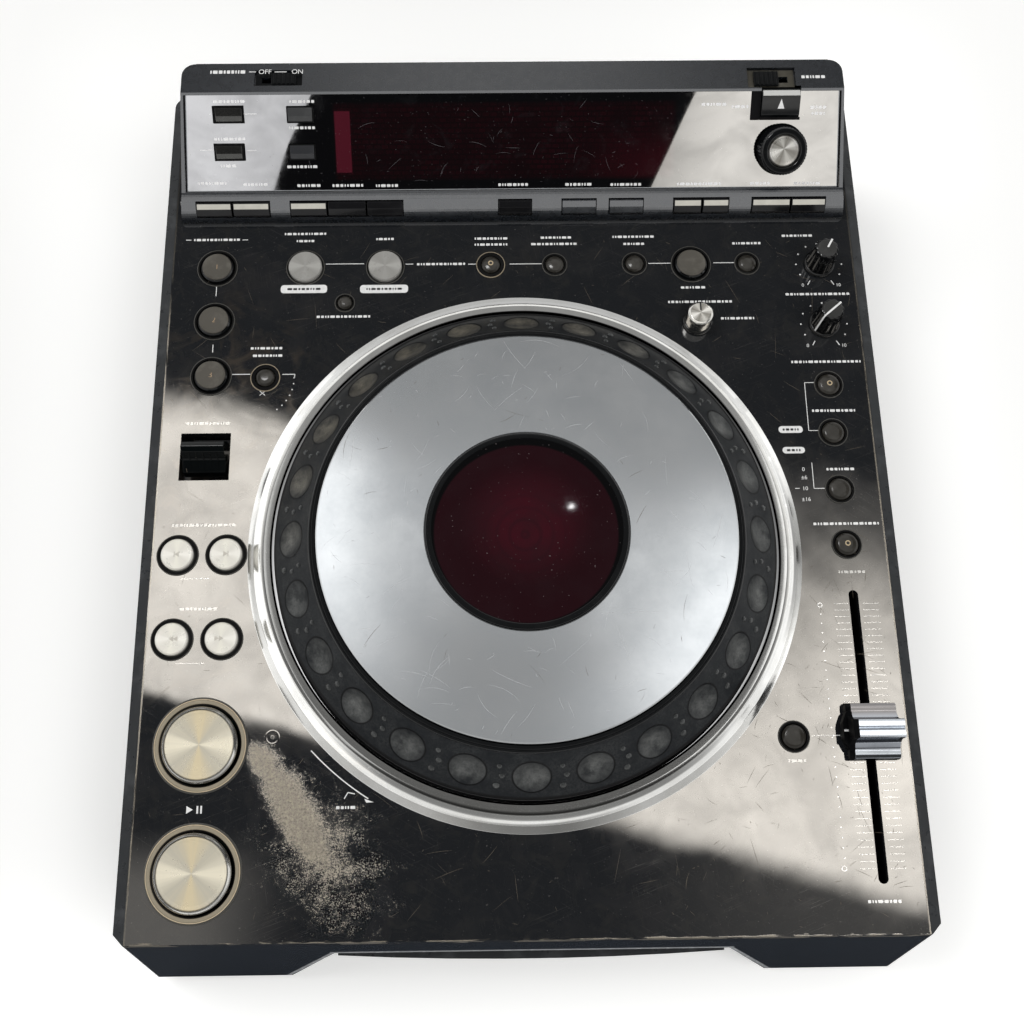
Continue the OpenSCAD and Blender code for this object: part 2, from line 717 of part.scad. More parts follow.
module display_housing() {
    color([0.13, 0.13, 0.14])
        difference() {
            union() {
                difference() {
                    housing_block(0);
                    housing_block(housing_t);
                    on_window()
                        translate([0, 0, -housing_t - 1])
                            linear_extrude(housing_t + 3) window_outline(0.1);
                }
                // seat that carries the window, the thicker floor of the strip's recesses
                intersection() {
                    housing_block(0);
                    on_window()
                        difference() {
                            translate([0, 0, -housing_t - seat_t])
                                linear_extrude(seat_t + housing_t - window_t - window_sink)
                                    window_outline(-1.2);
                            box(tube_left, tube_right, tube_low, tube_high, -3 * housing_t, 0);
                        }
                }
                for (s = [LOCK_RECESS, POWER_RECESS])
                    box(s[0] - s[2] / 2 - 2, s[0] + s[2] / 2 + 2, s[1] - 2, rear_top_y - 1,
                        top_z - recess_d - 1.6, top_z - 1);
            }
            on_window() window_cuts(key_gap, -3 * housing_t, housing_t);
            on_ledge() ledge_slots();
            slider_cuts();
            housing_back_corners();
            // holes of the two pins at the ledge's ends
            for (side = [-1, 1])
                translate([side * (housing_low_x - 6), win_y - 2.5, deck_z + 5])
                    rotate([0, side * 90, 0]) cylinder(h = 10, r = rod_r - 0.5);
        }
}

module display_window() {
    color([0.05, 0.02, 0.03, 0.6])
        on_window()
            difference() {
                translate([0, 0, -window_sink - window_t])
                    linear_extrude(window_t) window_outline(0.2);
                window_cuts(key_gap, -2 * window_t, 1);
            }
}

module display_module() {
    color([0.30, 0.03, 0.05])
        on_window() {
            difference() {
                translate([0, 0, module_h - module_t])
                    linear_extrude(module_t)
                        intersection() {
                            window_outline(2.9);
                            square([2 * (housing_low_x - module_in), 3 * window_len], center = true);
                        }
                rod(SELECTOR[0], SELECTOR[1], 2 * module_h, 0, shaft_r + run_gap);
            }
            box(tube_left + 1, tube_right - 1, tube_low + 1, tube_high - 1, module_h,
                -housing_t - seat_t - 0.4);
            difference() {
                box(SELECTOR[0] - 7, SELECTOR[0] + 7, SELECTOR[1] - 7, SELECTOR[1] + 7, module_h,
                    module_h + 5);
                rod(SELECTOR[0], SELECTOR[1], 2 * module_h, 0, shaft_r + run_gap);
            }
        }
}

module rear_jack(p, r, reach) {
    translate([p[0], back_y - rear_t - 6, p[1]])
        rotate([-90, 0, 0])
            difference() {
                cylinder(h = 6 + rear_t + reach, r = r);
                translate([0, 0, 4]) cylinder(h = 20, r = r - 1.2);
            }
    translate([p[0], back_y - rear_t - 6, p[1]])
        rotate([-90, 0, 0]) cylinder(h = 6 + rear_t + reach - 2, r = r * 0.25);
}

module rear_panel() {
    color([0.16, 0.16, 0.17])
        difference() {
            union() {
                box(-rear_x + 0.1, rear_x - 0.1, back_y - rear_t, back_y, rear_low + 0.1,
                    rear_high - 0.1);
                box(INLET[0] - INLET[2] / 2, INLET[0] + INLET[2] / 2, back_y - 16, back_y + 1.5,
                    INLET[1] - INLET[3] / 2, INLET[1] + INLET[3] / 2);
            }
            box(INLET[0] - INLET[2] / 2 + 2, INLET[0] + INLET[2] / 2 - 2, back_y - 14.5, back_y + 5,
                INLET[1] - INLET[3] / 2 + 2, INLET[1] + INLET[3] / 2 - 2);
            for (p = rear_screws())
                translate([p[0], back_y - 2 * wall, p[1]])
                    rotate([-90, 0, 0]) cylinder(h = 3 * wall, r = screw_r + screw_gap);
        }
    color([0.75, 0.65, 0.35]) {
        for (p = AUDIO) rear_jack(p, jack_r, jack_reach);
        for (p = VIDEO) rear_jack(p, jack_r + 0.9, jack_reach);
        for (p = CONTROL) rear_jack(p, jack_r - 0.5, jack_reach - 2.5);
        for (dx = [-1, 0, 1])
            box(INLET[0] + dx * 7 - 1, INLET[0] + dx * 7 + 1, back_y - 15, back_y - 4,
                INLET[1] - 2 + (dx == 0 ? 2.5 : -1), INLET[1] + 2 + (dx == 0 ? 2.5 : -1));
    }
}

// Turns a profile of [radius, height over the deck] points about the jog's axis
module jog_turn(points) {
    translate([jog_x, jog_y, deck_z])
        rotate_extrude($fn = 128) polygon(points);
}

function arc_points(cx, cy, r, a0, a1, n) =
    [for (i = [0:n]) [cx + r * cos(a0 + (a1 - a0) * i / n), cy + r * sin(a0 + (a1 - a0) * i / n)]];

module jog_bezel() {
    crest_r = bezel_in_r + 0.28 * bezel_w;
    color([0.72, 0.72, 0.73])
        jog_turn([[bezel_in_r, pan_z + pan_t], [bezel_in_r + skirt_t - 0.2, pan_z + pan_t],
            [bezel_in_r + skirt_t - 0.2, 0], [bezel_r, 0], [bezel_r, 0.8],
            [bezel_r - 0.26 * bezel_w, 0.36 * bezel_h], [bezel_r - 0.49 * bezel_w, 0.71 * bezel_h],
            [crest_r + 0.14 * bezel_w, bezel_h - 0.6], [crest_r, bezel_h],
            [bezel_in_r + 0.8, bezel_h], [bezel_in_r, bezel_h - 0.8]]);
}

module jog_post() {
    color([0.20, 0.20, 0.21])
        jog_turn([[0, pan_z], [pan_r, pan_z], [pan_r, -panel_t], [pan_r - 3.2, -panel_t],
            [pan_r - 3.2, pan_z + pan_t], [post_r + 4, pan_z + pan_t], [post_r + 4, hub_low - 0.3],
            [post_r, hub_low - 0.3], [post_r, pocket_h + 1], [lens_r - 3, pocket_h + 1],
            [lens_r - 3, pocket_h + 3.4], [0, pocket_h + 3.4]]);
}

module jog_dial() {
    grip_drop = grip_top - dial_shoulder;
    slope = atan2(grip_drop, grip_w);
    mid_r = (dial_r + lip_out_r) / 2;
    mid_h = (dial_shoulder + grip_top) / 2;
    lift = dimple_sphere_r - dimple_depth;
    color([0.13, 0.14, 0.17])
        difference() {
            jog_turn([[post_r + run_gap, hub_low], [post_r + 6, hub_low], [post_r + 6, web_h],
                [lip_out_r + (grip_top - web_h) * grip_w / grip_drop - shell_t, web_h],
                [dial_r - 2.6, dial_shoulder + 2.6 - shell_t], [dial_r - 2.6, dial_low],
                [dial_r, dial_low], [dial_r, dial_shoulder], [lip_out_r, grip_top],
                [lip_out_r, lip_h], [lip_in_r, lip_h], [lip_in_r, recess_h], [seat_r, recess_h],
                [seat_r, pocket_h], [post_r + run_gap, pocket_h]]);
            for (i = [0:dimples - 1])
                translate([jog_x, jog_y, deck_z])
                    rotate([0, 0, 360 * i / dimples])
                        translate([mid_r + lift * sin(slope), 0, mid_h + lift * cos(slope)])
                            sphere(r = dimple_sphere_r);
            for (i = [0:2])
                translate([jog_x, jog_y, deck_z])
                    rotate([0, 0, 120 * i + 30])
                        rod(peg_circle, 0, pocket_h - 5, plate_h, peg_r + run_gap);
        }
}

module jog_plate() {
    low = plate_h - plate_t;
    color([0.72, 0.73, 0.74]) {
        jog_turn([[lens_r + 0.1, low], [plate_r, low], [plate_r, plate_h - 0.3],
            [plate_r - 0.3, plate_h], [lens_r + 0.1, plate_h]]);
        for (i = [0:2])
            translate([jog_x, jog_y, deck_z])
                rotate([0, 0, 120 * i + 30])
                    rod(peg_circle, 0, pocket_h - 1, low + 0.5, peg_r);
    }
}

module jog_lens() {
    low = plate_h - plate_t;
    crown = 2;
    ball = (lens_r * lens_r + crown * crown) / (2 * crown);
    half = asin(lens_r / ball);
    dome = [for (i = [0:6]) [ball * sin(half * (1 - i / 6)), plate_h + 0.6 + crown - ball
        + ball * cos(half * (1 - i / 6))]];
    color([0.28, 0.03, 0.05, 0.8])
        jog_turn(concat([[0, low - 0.8], [seat_r - 0.6, low - 0.8], [seat_r - 0.6, low], [lens_r, low]],
            dome));
}

module collar(b, rise) {
    inner = b[2] + key_gap;
    translate([b[0], b[1], deck_z])
        rotate_extrude()
            polygon([[inner, -panel_t + 0.6], [inner + b[3] - 0.3, -panel_t + 0.6],
                [inner + b[3] - 0.3, 0], [inner + b[3], 0], [inner + b[3], rise - 0.2],
                [inner + b[3] - 0.3, rise], [inner, rise]]);
}

module button_collars() {
    color([0.05, 0.05, 0.05])
        for (b = DARK_BUTTONS) collar(b, collar_rise);
}

module light_rings() {
    color([0.80, 0.74, 0.62])
        for (b = BIG_BUTTONS) collar(b, collar_rise + 0.5);
}

// Round button: cap with a bevelled edge, retaining flange and stem
module round_button(b, rise = cap_rise) {
    r = b[2];
    bevel = min(0.6, rise / 3);
    flange_top = -panel_t - key_gap;
    translate([b[0], b[1], deck_z])
        rotate_extrude()
            polygon([[0, stem_end], [stem_r, stem_end], [stem_r, flange_top - flange_t],
                [r + flange_w, flange_top - flange_t], [r + flange_w, flange_top], [r, flange_top],
                [r, rise - bevel], [r - bevel, rise], [0, rise]]);
}

module tact_switch(x, y) {
    translate([x, y, deck_z + board_h + switch_h / 2]) cube([5, 5, switch_h], center = true);
}

module circuit_boards() {
    z0 = deck_z + board_h - board_t;
    z1 = deck_z + board_h;
    left_edge = -panel_x + ledge_w + 1;
    well_side = lever_well / 2 + well_t + 1;
    color([0.10, 0.30, 0.16]) {
        // board round the jog wheel, under all the deck's controls
        difference() {
            box(left_edge, -left_edge, deck_front + 12, nose_y + 4, z0, z1);
            rod(jog_x, jog_y, z0 - 1, z1 + 1, pan_r + 1);
            box(drive_x - frame_half - 6, drive_x + frame_half + 6, front_y, jog_y, z0 - 1, z1 + 1);
            box(lever_x - well_side, lever_x + well_side, lever_y - well_side, lever_y + well_side,
                z0 - 1, z1 + 1);
        }
        box(-main_board_x, main_board_x, main_front, main_back, main_board_z, main_board_z + board_t);
        box(drive_x + frame_half + 6, case_x - 10, power_front, power_back, main_board_z,
            main_board_z + board_t);
    }
    color([0.10, 0.10, 0.11]) {
        for (b = concat(DARK_BUTTONS, BIG_BUTTONS)) tact_switch(b[0], b[1]);
        for (p = POTS)
            difference() {
                translate([p[0], p[1], deck_z + (board_h + pot_top) / 2])
                    cube([pot_side, pot_side, pot_top - board_h], center = true);
                rod(p[0], p[1], deck_z + shaft_end - 0.5, deck_z, shaft_r + run_gap);
            }
        for (i = [-1:1])
            translate([i * chip_pitch - chip_w / 2, main_front + 40, main_board_z + board_t])
                cube([chip_w, chip_w, chip_t]);
        translate([case_x - 20 - transformer_w, power_front + 55, main_board_z + board_t])
            cube([transformer_w, transformer_w, transformer_h]);
        for (i = [0:2])
            translate([case_x - 50 + 14 * i, power_front + 25, main_board_z + board_t])
                cylinder(h = capacitor_h, r = capacitor_r);
    }
}

module fader_unit() {
    low = fader_y - fader_slot_l / 2 - 6;
    high = fader_y + fader_slot_l / 2 + 6;
    color([0.55, 0.55, 0.56])
        difference() {
            box(fader_x - fader_body_w / 2, fader_x + fader_body_w / 2, low, high, deck_z + board_h,
                deck_z + fader_top);
            box(fader_x - slot_gap / 2, fader_x + slot_gap / 2, low + 5, high - 5,
                deck_z + fader_stem_end - 1, deck_z);
        }
}

module fader_knob() {
    half = fader_knob_w / 2;
    skirt = 1;
    color([0.62, 0.62, 0.63])
        translate([fader_x, fader_y, deck_z]) {
            // dished finger profile with a raised centre bar
            rotate([90, 0, 90])
                translate([0, 0, -half])
                    linear_extrude(fader_knob_w)
                        polygon([[-half, skirt], [half, skirt], [half - 0.8, fader_knob_h - 1.6],
                            [half - 2.2, fader_knob_h], [half - 4, fader_knob_h - 0.4],
                            [2.6, fader_knob_h - 3], [1.6, fader_knob_h - 1.6],
                            [-1.6, fader_knob_h - 1.6], [-2.6, fader_knob_h - 3],
                            [-half + 4, fader_knob_h - 0.4], [-half + 2.2, fader_knob_h],
                            [-half + 0.8, fader_knob_h - 1.6]]);
            box(-fader_stem_t / 2, fader_stem_t / 2, -fader_stem_l / 2, fader_stem_l / 2,
                fader_stem_end, skirt + 1);
        }
}

module drive_frame() {
    x0 = drive_x - frame_half;
    x1 = drive_x + frame_half;
    bridge_z = slot_z + bridge_gap;
    side_top = bridge_z + frame_t;
    color([0.62, 0.63, 0.64])
        difference() {
            union() {
                box(x0, x1, frame_front, frame_back, frame_low, frame_low + frame_t);
                box(x0, x0 + frame_t, frame_front, frame_back, frame_low, side_top);
                box(x1 - frame_t, x1, frame_front, frame_back, frame_low, side_top);
                box(x0, x1, spindle_y - 16, spindle_y + 16, bridge_z, side_top);
                rod(drive_x, spindle_y, bridge_z - 2.5, bridge_z, hub_r + 5);
                rod(drive_x, spindle_y, frame_low, platform_z - 6, motor_r);
                for (y = [spindle_y + motor_r + 2, frame_back - rail_end])
                    box(drive_x - rail_x - 4, drive_x + rail_x + 4, y, y + 3, frame_low, rail_z + 4);
                for (side = [-1, 1])
                    translate([drive_x + side * rail_x, spindle_y + motor_r + 3, rail_z])
                        rotate([-90, 0, 0])
                            cylinder(h = frame_back - rail_end - spindle_y - motor_r - 2, r = rod_r);
            }
            rod(drive_x, spindle_y, frame_low + frame_t + 1, platform_z, rod_r + run_gap);
            for (side = [-1, 1])
                translate([drive_x + side * frame_half, roller_y, roller_z])
                    rotate([0, 90, 0])
                        cylinder(h = 6 * frame_t, r = rod_r + run_gap, center = true);
        }
}

module disc_turntable() {
    color([0.15, 0.15, 0.16])
        translate([drive_x, spindle_y, 0]) {
            rod(0, 0, platform_z - platform_t, platform_z, platform_r);
            rod(0, 0, platform_z - 1, platform_z + 2, hub_r);
            rod(0, 0, frame_low + frame_t + 2, platform_z - 2, rod_r);
        }
}

module laser_sled() {
    low = rail_z - sled_t / 2;
    color([0.45, 0.46, 0.48])
        difference() {
            union() {
                box(drive_x - rail_x - 4, drive_x + rail_x + 4, sled_y - sled_l / 2,
                    sled_y + sled_l / 2, low, low + sled_t);
                rod(drive_x, sled_y, low + sled_t - 1, low + sled_t + 3, eye_r);
            }
            for (side = [-1, 1])
                translate([drive_x + side * rail_x, sled_y, rail_z])
                    rotate([90, 0, 0])
                        cylinder(h = 2 * sled_l, r = rod_r + run_gap, center = true);
        }
}

module loading_roller() {
    half = frame_half - frame_t - 1.5;
    color([0.08, 0.08, 0.08])
        translate([drive_x, roller_y, roller_z])
            rotate([0, 90, 0]) {
                cylinder(h = 2 * half, r = roller_r, center = true);
                cylinder(h = 2 * frame_half + 1, r = rod_r, center = true);
            }
}

module feet() {
    color([0.06, 0.06, 0.06])
        for (p = foot_places())
            translate([p[0], p[1], 0])
                difference() {
                    rotate_extrude()
                        polygon([[0, 0], [foot_r - 1, 0], [foot_r, 1], [foot_r, foot_h], [0, foot_h]]);
                    rod(0, 0, -1, foot_h / 2, head_r + 0.5);
                    rod(0, 0, -1, foot_h + 1, screw_r + screw_gap);
                }
}

module screws() {
    color([0.55, 0.55, 0.56]) {
        for (p = foot_places()) {
            rod(p[0], p[1], foot_h / 2 - 2, foot_h / 2, head_r);
            rod(p[0], p[1], foot_h / 2 - 1, foot_h + wall + 0.5, screw_r);
        }
        for (p = rear_screws())
            translate([p[0], back_y, p[1]])
                rotate([-90, 0, 0]) {
                    cylinder(h = 1.6, r = head_r);
                    translate([0, 0, -wall - 1]) cylinder(h = wall + 2, r = screw_r);
                }
        for (side = [-1, 1])
            translate([side * (housing_low_x - 5), win_y - 2.5, deck_z + 5])
                rotate([0, side * 90, 0]) cylinder(h = 5, r = rod_r - 0.6);
    }
}

// Knob with a pointer rib on a shaft that turns in its pot
module pointer_knob(p, r, h) {
    translate([p[0], p[1], deck_z])
        difference() {
            union() {
                rotate_extrude()
                    polygon([[0, shaft_end], [shaft_r, shaft_end], [shaft_r, 0.8], [r, 0.8], [r, 2.4],
                        [r - 1, 4], [r - 1.8, h - 1], [r - 2.6, h], [0, h]]);
                translate([-0.8, 0, 2]) cube([1.6, r - 1.4, h - 1.6]);
            }
            for (i = [1:11])
                rotate([0, 0, 30 * i + 90]) rod(r - 1, 0, 4.6, h + 2, 1);
        }
}

module brake_knob() { color([0.05, 0.05, 0.05]) pointer_knob(BRAKE, pointer_r, pointer_h); }
module start_knob() { color([0.05, 0.05, 0.05]) pointer_knob(START, pointer_r, pointer_h); }

module touch_knob() {
    color([0.70, 0.70, 0.70])
        translate([TOUCH[0], TOUCH[1], deck_z])
            difference() {
                rotate_extrude()
                    polygon([[0, shaft_end], [shaft_r, shaft_end], [shaft_r, 0.8], [touch_r, 0.8],
                        [touch_r, 2], [touch_r - 0.6, 2.6], [touch_r - 0.9, touch_h - 1],
                        [touch_r - 1.9, touch_h], [0, touch_h]]);
                translate([-0.4, touch_r - 4, touch_h - 0.5]) cube([0.8, 5, 1]);
            }
}

module selector_knob() {
    rise = 8;
    color([0.06, 0.06, 0.06])
        on_window()
            translate([SELECTOR[0], SELECTOR[1], 0])
                rotate_extrude()
                    polygon([[0, module_h + 0.6], [shaft_r, module_h + 0.6], [shaft_r, -window_sink],
                        [selector_r, -window_sink], [selector_r, rise - 1.2],
                        [selector_r - 1.2, rise], [selector_r - 3.4, rise],
                        [selector_r - 3.8, rise - 0.8], [0, rise - 0.4]]);
}

module direction_lever() {
    half = lever_w / 2;
    pin = half + 1.5 + well_t - 0.3;
    color([0.05, 0.05, 0.06])
        translate([lever_x, lever_y, deck_z + lever_axis_h]) {
            rotate([0, 90, 0]) cylinder(h = 2 * pin, r = rod_r, center = true);
            rotate([90, 0, 90])
                translate([0, 0, -half])
                    linear_extrude(lever_w)
                        polygon([[-7.5, 1.5], [-3, -2.8], [3, -2.8], [7.5, 1.5], [7, 6.5], [4.6, 13],
                            [2.4, 14], [0.4, 12.6], [-1.8, 8.2], [-7, 6.5]]);
        }
}

// Keys that move into the housing's sloping faces, held on a comb behind it
module window_comb(places) {
    flange = -housing_t - seat_t - key_gap;
    on_window() {
        for (k = places) {
            box(k[0] - k[2] / 2, k[0] + k[2] / 2, k[1] - key_l / 2, k[1] + key_l / 2, flange,
                window_rise - 0.4);
            box(k[0] - k[2] / 2 + 0.6, k[0] + k[2] / 2 - 0.6, k[1] - key_l / 2 + 0.6,
                k[1] + key_l / 2 - 0.6, flange, window_rise);
        }
        reach = places[0][2] / 2 + 1.2;
        box(places[0][0] - reach, places[0][0] + reach, places[1][1] - key_l / 2 - 1.2,
            places[0][1] + key_l / 2 + 1.2, flange - comb_t, flange);
    }
}

module ledge_comb(keys) {
    reach = 3.5;
    last = len(keys) - 1;
    on_ledge() {
        for (k = keys) {
            left = k[0] + key_gap;
            right = k[1] - key_gap;
            box(left, right, -ledge_key_l / 2, ledge_key_l / 2, -reach, ledge_rise - 0.9);
            box(left + 0.5, right - 0.5, -ledge_key_l / 2 + 0.5, ledge_key_l / 2 - 0.5, -reach,
                ledge_rise);
        }
        box(keys[0][0] - 1, keys[last][1] + 1, -ledge_key_l / 2 + 1.2, ledge_key_l / 2 - 1.2,
            -reach - comb_t, -reach);
    }
}

module eject_button() {
    flange = -housing_t - seat_t - key_gap;
    reach = eject_w / 2;
    color([0.04, 0.05, 0.07])
        intersection() {
            slab(deck_z, top_z) square(2 * case_d, center = true);
            on_window() {
                box(EJECT[0] - reach, EJECT[0] + reach, EJECT[1] - eject_l / 2,
                    EJECT[1] + eject_l / 2, flange, 2.2);
                box(EJECT[0] - reach - 1.2, EJECT[0] + reach + 1.2, EJECT[1] - eject_l / 2 - 1.2,
                    EJECT[1] + eject_l / 2 - 1, flange - comb_t, flange);
            }
        }
}

// Thumb piece of a slide switch, with ribs across and a tongue through its slot
module slide_switch(s, x, length) {
    z0 = top_z - recess_d + 0.3;
    color([0.10, 0.10, 0.11]) {
        box(x - slider_w / 2, x + slider_w / 2, s[1] - length / 2, s[1] + length / 2, z0, top_z - 0.3);
        for (i = [-2:2])
            box(x + i * 2 - 0.4, x + i * 2 + 0.4, s[1] - length / 2 + 0.4, s[1] + length / 2 - 0.4,
                top_z - 0.6, top_z);
        box(x - 2, x + 2, s[1] - 1.1, s[1] + 1.1, top_z - 2 * housing_t, z0 + 0.5);
    }
}

module lock_slider() { slide_switch(LOCK_RECESS, LOCK_RECESS[0] - slider_travel / 2, 7.4); }
module power_slider() { slide_switch(POWER_RECESS, POWER_RECESS[0] + slider_travel / 2, 6); }

module dark_button(b) { color([0.07, 0.07, 0.07]) round_button(b); }
module pale_button(b, rise) { color([0.85, 0.82, 0.75]) round_button(b, rise); }
module dark_key() { color([0.20, 0.20, 0.20]) children(); }

lower_case();
front_fascia();
deck_panel();
display_housing();
display_window();
display_module();
rear_panel();
jog_bezel();
jog_post();
jog_dial();
jog_plate();
jog_lens();
button_collars();
light_rings();
circuit_boards();
fader_unit();
drive_frame();
disc_turntable();
laser_sled();
loading_roller();
feet();
screws();
dark_button(HOT_A);  // hot_cue_a_button
dark_button(HOT_B);  // hot_cue_b_button
dark_button(HOT_C);  // hot_cue_c_button
dark_button(LOOP_JUMP);  // loop_jump_button
pale_button(LOOP_IN, cap_rise);  // loop_in_button
pale_button(LOOP_OUT, cap_rise);  // loop_out_button
dark_button(RELOOP);  // reloop_button
dark_button(BEAT_DOWN);  // beat_down_button
dark_button(BEAT_UP);  // beat_up_button
dark_button(CALL_BACK);  // call_back_button
dark_button(MEMORY);  // memory_button
dark_button(CALL_NEXT);  // call_next_button
dark_button(JOG_MODE);  // jog_mode_button
dark_button(VINYL_MODE);  // vinyl_mode_button
dark_button(TEMPO_RANGE);  // tempo_range_button
dark_button(KEY_LOCK);  // key_lock_button
dark_button(TEMPO_RESET);  // tempo_reset_button
pale_button(TRACK_BACK, cap_rise);  // track_back_button
pale_button(TRACK_NEXT, cap_rise);  // track_next_button
pale_button(SEARCH_BACK, cap_rise);  // search_back_button
pale_button(SEARCH_NEXT, cap_rise);  // search_next_button
pale_button(CUE, big_rise);  // cue_button
pale_button(PLAY, big_rise);  // play_button
direction_lever();
touch_knob();
brake_knob();
start_knob();
selector_knob();
fader_knob();
eject_button();
lock_slider();
power_slider();
dark_key() window_comb(WINDOW_LEFT);  // window_keys_left
dark_key() window_comb(WINDOW_RIGHT);  // window_keys_right
dark_key() ledge_comb(LEDGE_A);  // ledge_keys_a
dark_key() ledge_comb(LEDGE_B);  // ledge_keys_b
dark_key() ledge_comb(LEDGE_C);  // ledge_keys_c
dark_key() ledge_comb(LEDGE_D);  // ledge_keys_d
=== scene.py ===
"""Looks of a tabletop disc player for DJs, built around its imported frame.

Lengths here are millimetres, and a mesh gets metres when it is made. Places come from the
frame. Labels are bars, signs and numbers, and the places of names stay bare.
"""
import json
import math
import random

import bmesh
import bpy
from mathutils import Matrix, Vector


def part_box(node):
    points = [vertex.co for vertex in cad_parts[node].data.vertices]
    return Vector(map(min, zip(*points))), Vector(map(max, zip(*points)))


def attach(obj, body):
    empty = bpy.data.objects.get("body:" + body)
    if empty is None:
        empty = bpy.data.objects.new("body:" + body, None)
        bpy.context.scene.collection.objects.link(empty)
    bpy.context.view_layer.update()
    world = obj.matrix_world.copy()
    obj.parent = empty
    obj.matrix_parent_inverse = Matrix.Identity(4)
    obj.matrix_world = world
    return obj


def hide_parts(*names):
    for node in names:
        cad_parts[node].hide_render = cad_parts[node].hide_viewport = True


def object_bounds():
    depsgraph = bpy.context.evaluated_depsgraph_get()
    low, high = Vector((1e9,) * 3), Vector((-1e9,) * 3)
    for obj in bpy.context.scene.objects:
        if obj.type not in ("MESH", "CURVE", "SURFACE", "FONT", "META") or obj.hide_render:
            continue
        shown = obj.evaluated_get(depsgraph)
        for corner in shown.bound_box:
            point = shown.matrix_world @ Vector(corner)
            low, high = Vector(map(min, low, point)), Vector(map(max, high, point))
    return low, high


MM = 0.001
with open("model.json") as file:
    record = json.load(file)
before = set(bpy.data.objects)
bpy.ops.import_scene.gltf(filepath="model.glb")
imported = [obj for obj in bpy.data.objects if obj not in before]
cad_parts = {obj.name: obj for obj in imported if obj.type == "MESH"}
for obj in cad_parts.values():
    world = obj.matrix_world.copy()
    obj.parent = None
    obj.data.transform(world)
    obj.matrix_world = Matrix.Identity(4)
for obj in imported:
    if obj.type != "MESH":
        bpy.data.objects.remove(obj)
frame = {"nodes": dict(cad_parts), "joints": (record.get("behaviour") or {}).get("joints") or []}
cad_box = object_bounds()
scene = bpy.context.scene


# ---------------------------------------------------------------- places from the frame
def node_box(name):
    low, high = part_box(name)
    return low / MM, high / MM


def middle(name):
    low, high = node_box(name)
    return (low + high) / 2


def joint(key, value):
    return next(j for j in frame["joints"] if j[key] == value)


WINDOW_LENGTH = 43.3
PANEL_RUN = 15.5  # the leaning front panel reaches this far in front of the deck
PRESS_FLANGE = 1.0  # a button's hidden flange stands this far out of its cap

DECK_Z = node_box("deck_panel")[1].z
TOP_Z = node_box("display_housing")[1].z
JOG = middle("jog_dial")
JOG_AXIS = (JOG.x, JOG.y)
DECK_FRONT = node_box("front_fascia")[0].y + PANEL_RUN
LEAN = math.atan2(DECK_Z - node_box("front_fascia")[0].z, PANEL_RUN)
window_out = Vector(joint("name", "selector_turn")["axis"])
WINDOW_TILT = math.atan2(-window_out.y, window_out.z)
WIN_Z = TOP_Z - WINDOW_LENGTH * math.sin(WINDOW_TILT)
NOSE_R = WIN_Z - DECK_Z
WIN_Y = node_box("display_housing")[0].y + NOSE_R
LEDGE_ANGLE = math.radians(45)

# Jog wheel: radii, and heights over the deck
DIAL_R = node_box("jog_dial")[1].x - JOG.x
PLATE_R = node_box("jog_plate")[1].x - JOG.x
BEZEL_R = node_box("jog_bezel")[1].x - JOG.x
LENS_R = 41.0
LENS_BALL = (LENS_R ** 2 + 4) / 4
PLATE_TOP = node_box("jog_plate")[1].z - DECK_Z
LENS_TOP = node_box("jog_lens")[1].z - DECK_Z
BEZEL_IN, BEZEL_TOP = DIAL_R + 1.0, 9.0
GRIP_LOW, GRIP_HIGH = Vector((DIAL_R - 0.1, 9.3)), Vector((DIAL_R - 16.3, 25.8))


def turn(angle, axis):
    return Matrix.Rotation(angle, 4, axis)


def move(x, y, z):
    return Matrix.Translation((x, y, z))


def on_deck(x=0.0, y=0.0, lift=0.0):
    return move(x, y, DECK_Z + lift)


def on_strip(x=0.0, y=0.0):
    return move(x, y, TOP_Z)


def on_window(x=0.0, s=0.0, lift=0.0):
    return move(0, WIN_Y, WIN_Z) @ turn(WINDOW_TILT, "X") @ move(x, s, lift)


def on_ledge():
    return move(0, WIN_Y, DECK_Z) @ turn(LEDGE_ANGLE, "X") @ move(0, 0, NOSE_R)


def on_fascia():
    return move(JOG.x, DECK_FRONT, DECK_Z) @ turn(LEAN, "X")


def on_jog(angle=0.0):
    return move(JOG.x, JOG.y, DECK_Z) @ turn(angle, "Z")


def standing(node):
    """Half the width of a piece on the deck, its height over the deck, and its place."""
    low, high = node_box(node)
    at = middle(node)
    return (high.x - low.x) / 2, high.z - DECK_Z, on_deck(at.x, at.y)


def button(node):
    r, top, place = standing(node)
    return r - PRESS_FLANGE, top, place


# Turns a side profile of (y, z) points so that it is extruded along x
ALONG_X = Matrix(((0, 0, 1, 0), (1, 0, 0, 0), (0, 1, 0, 0), (0, 0, 0, 1)))


# ---------------------------------------------------------------- shapes: (points, faces)
def rectangle(x0, y0, x1, y1, *rounding):
    return [(x0, y0, *rounding), (x1, y0, *rounding), (x1, y1, *rounding), (x0, y1, *rounding)]


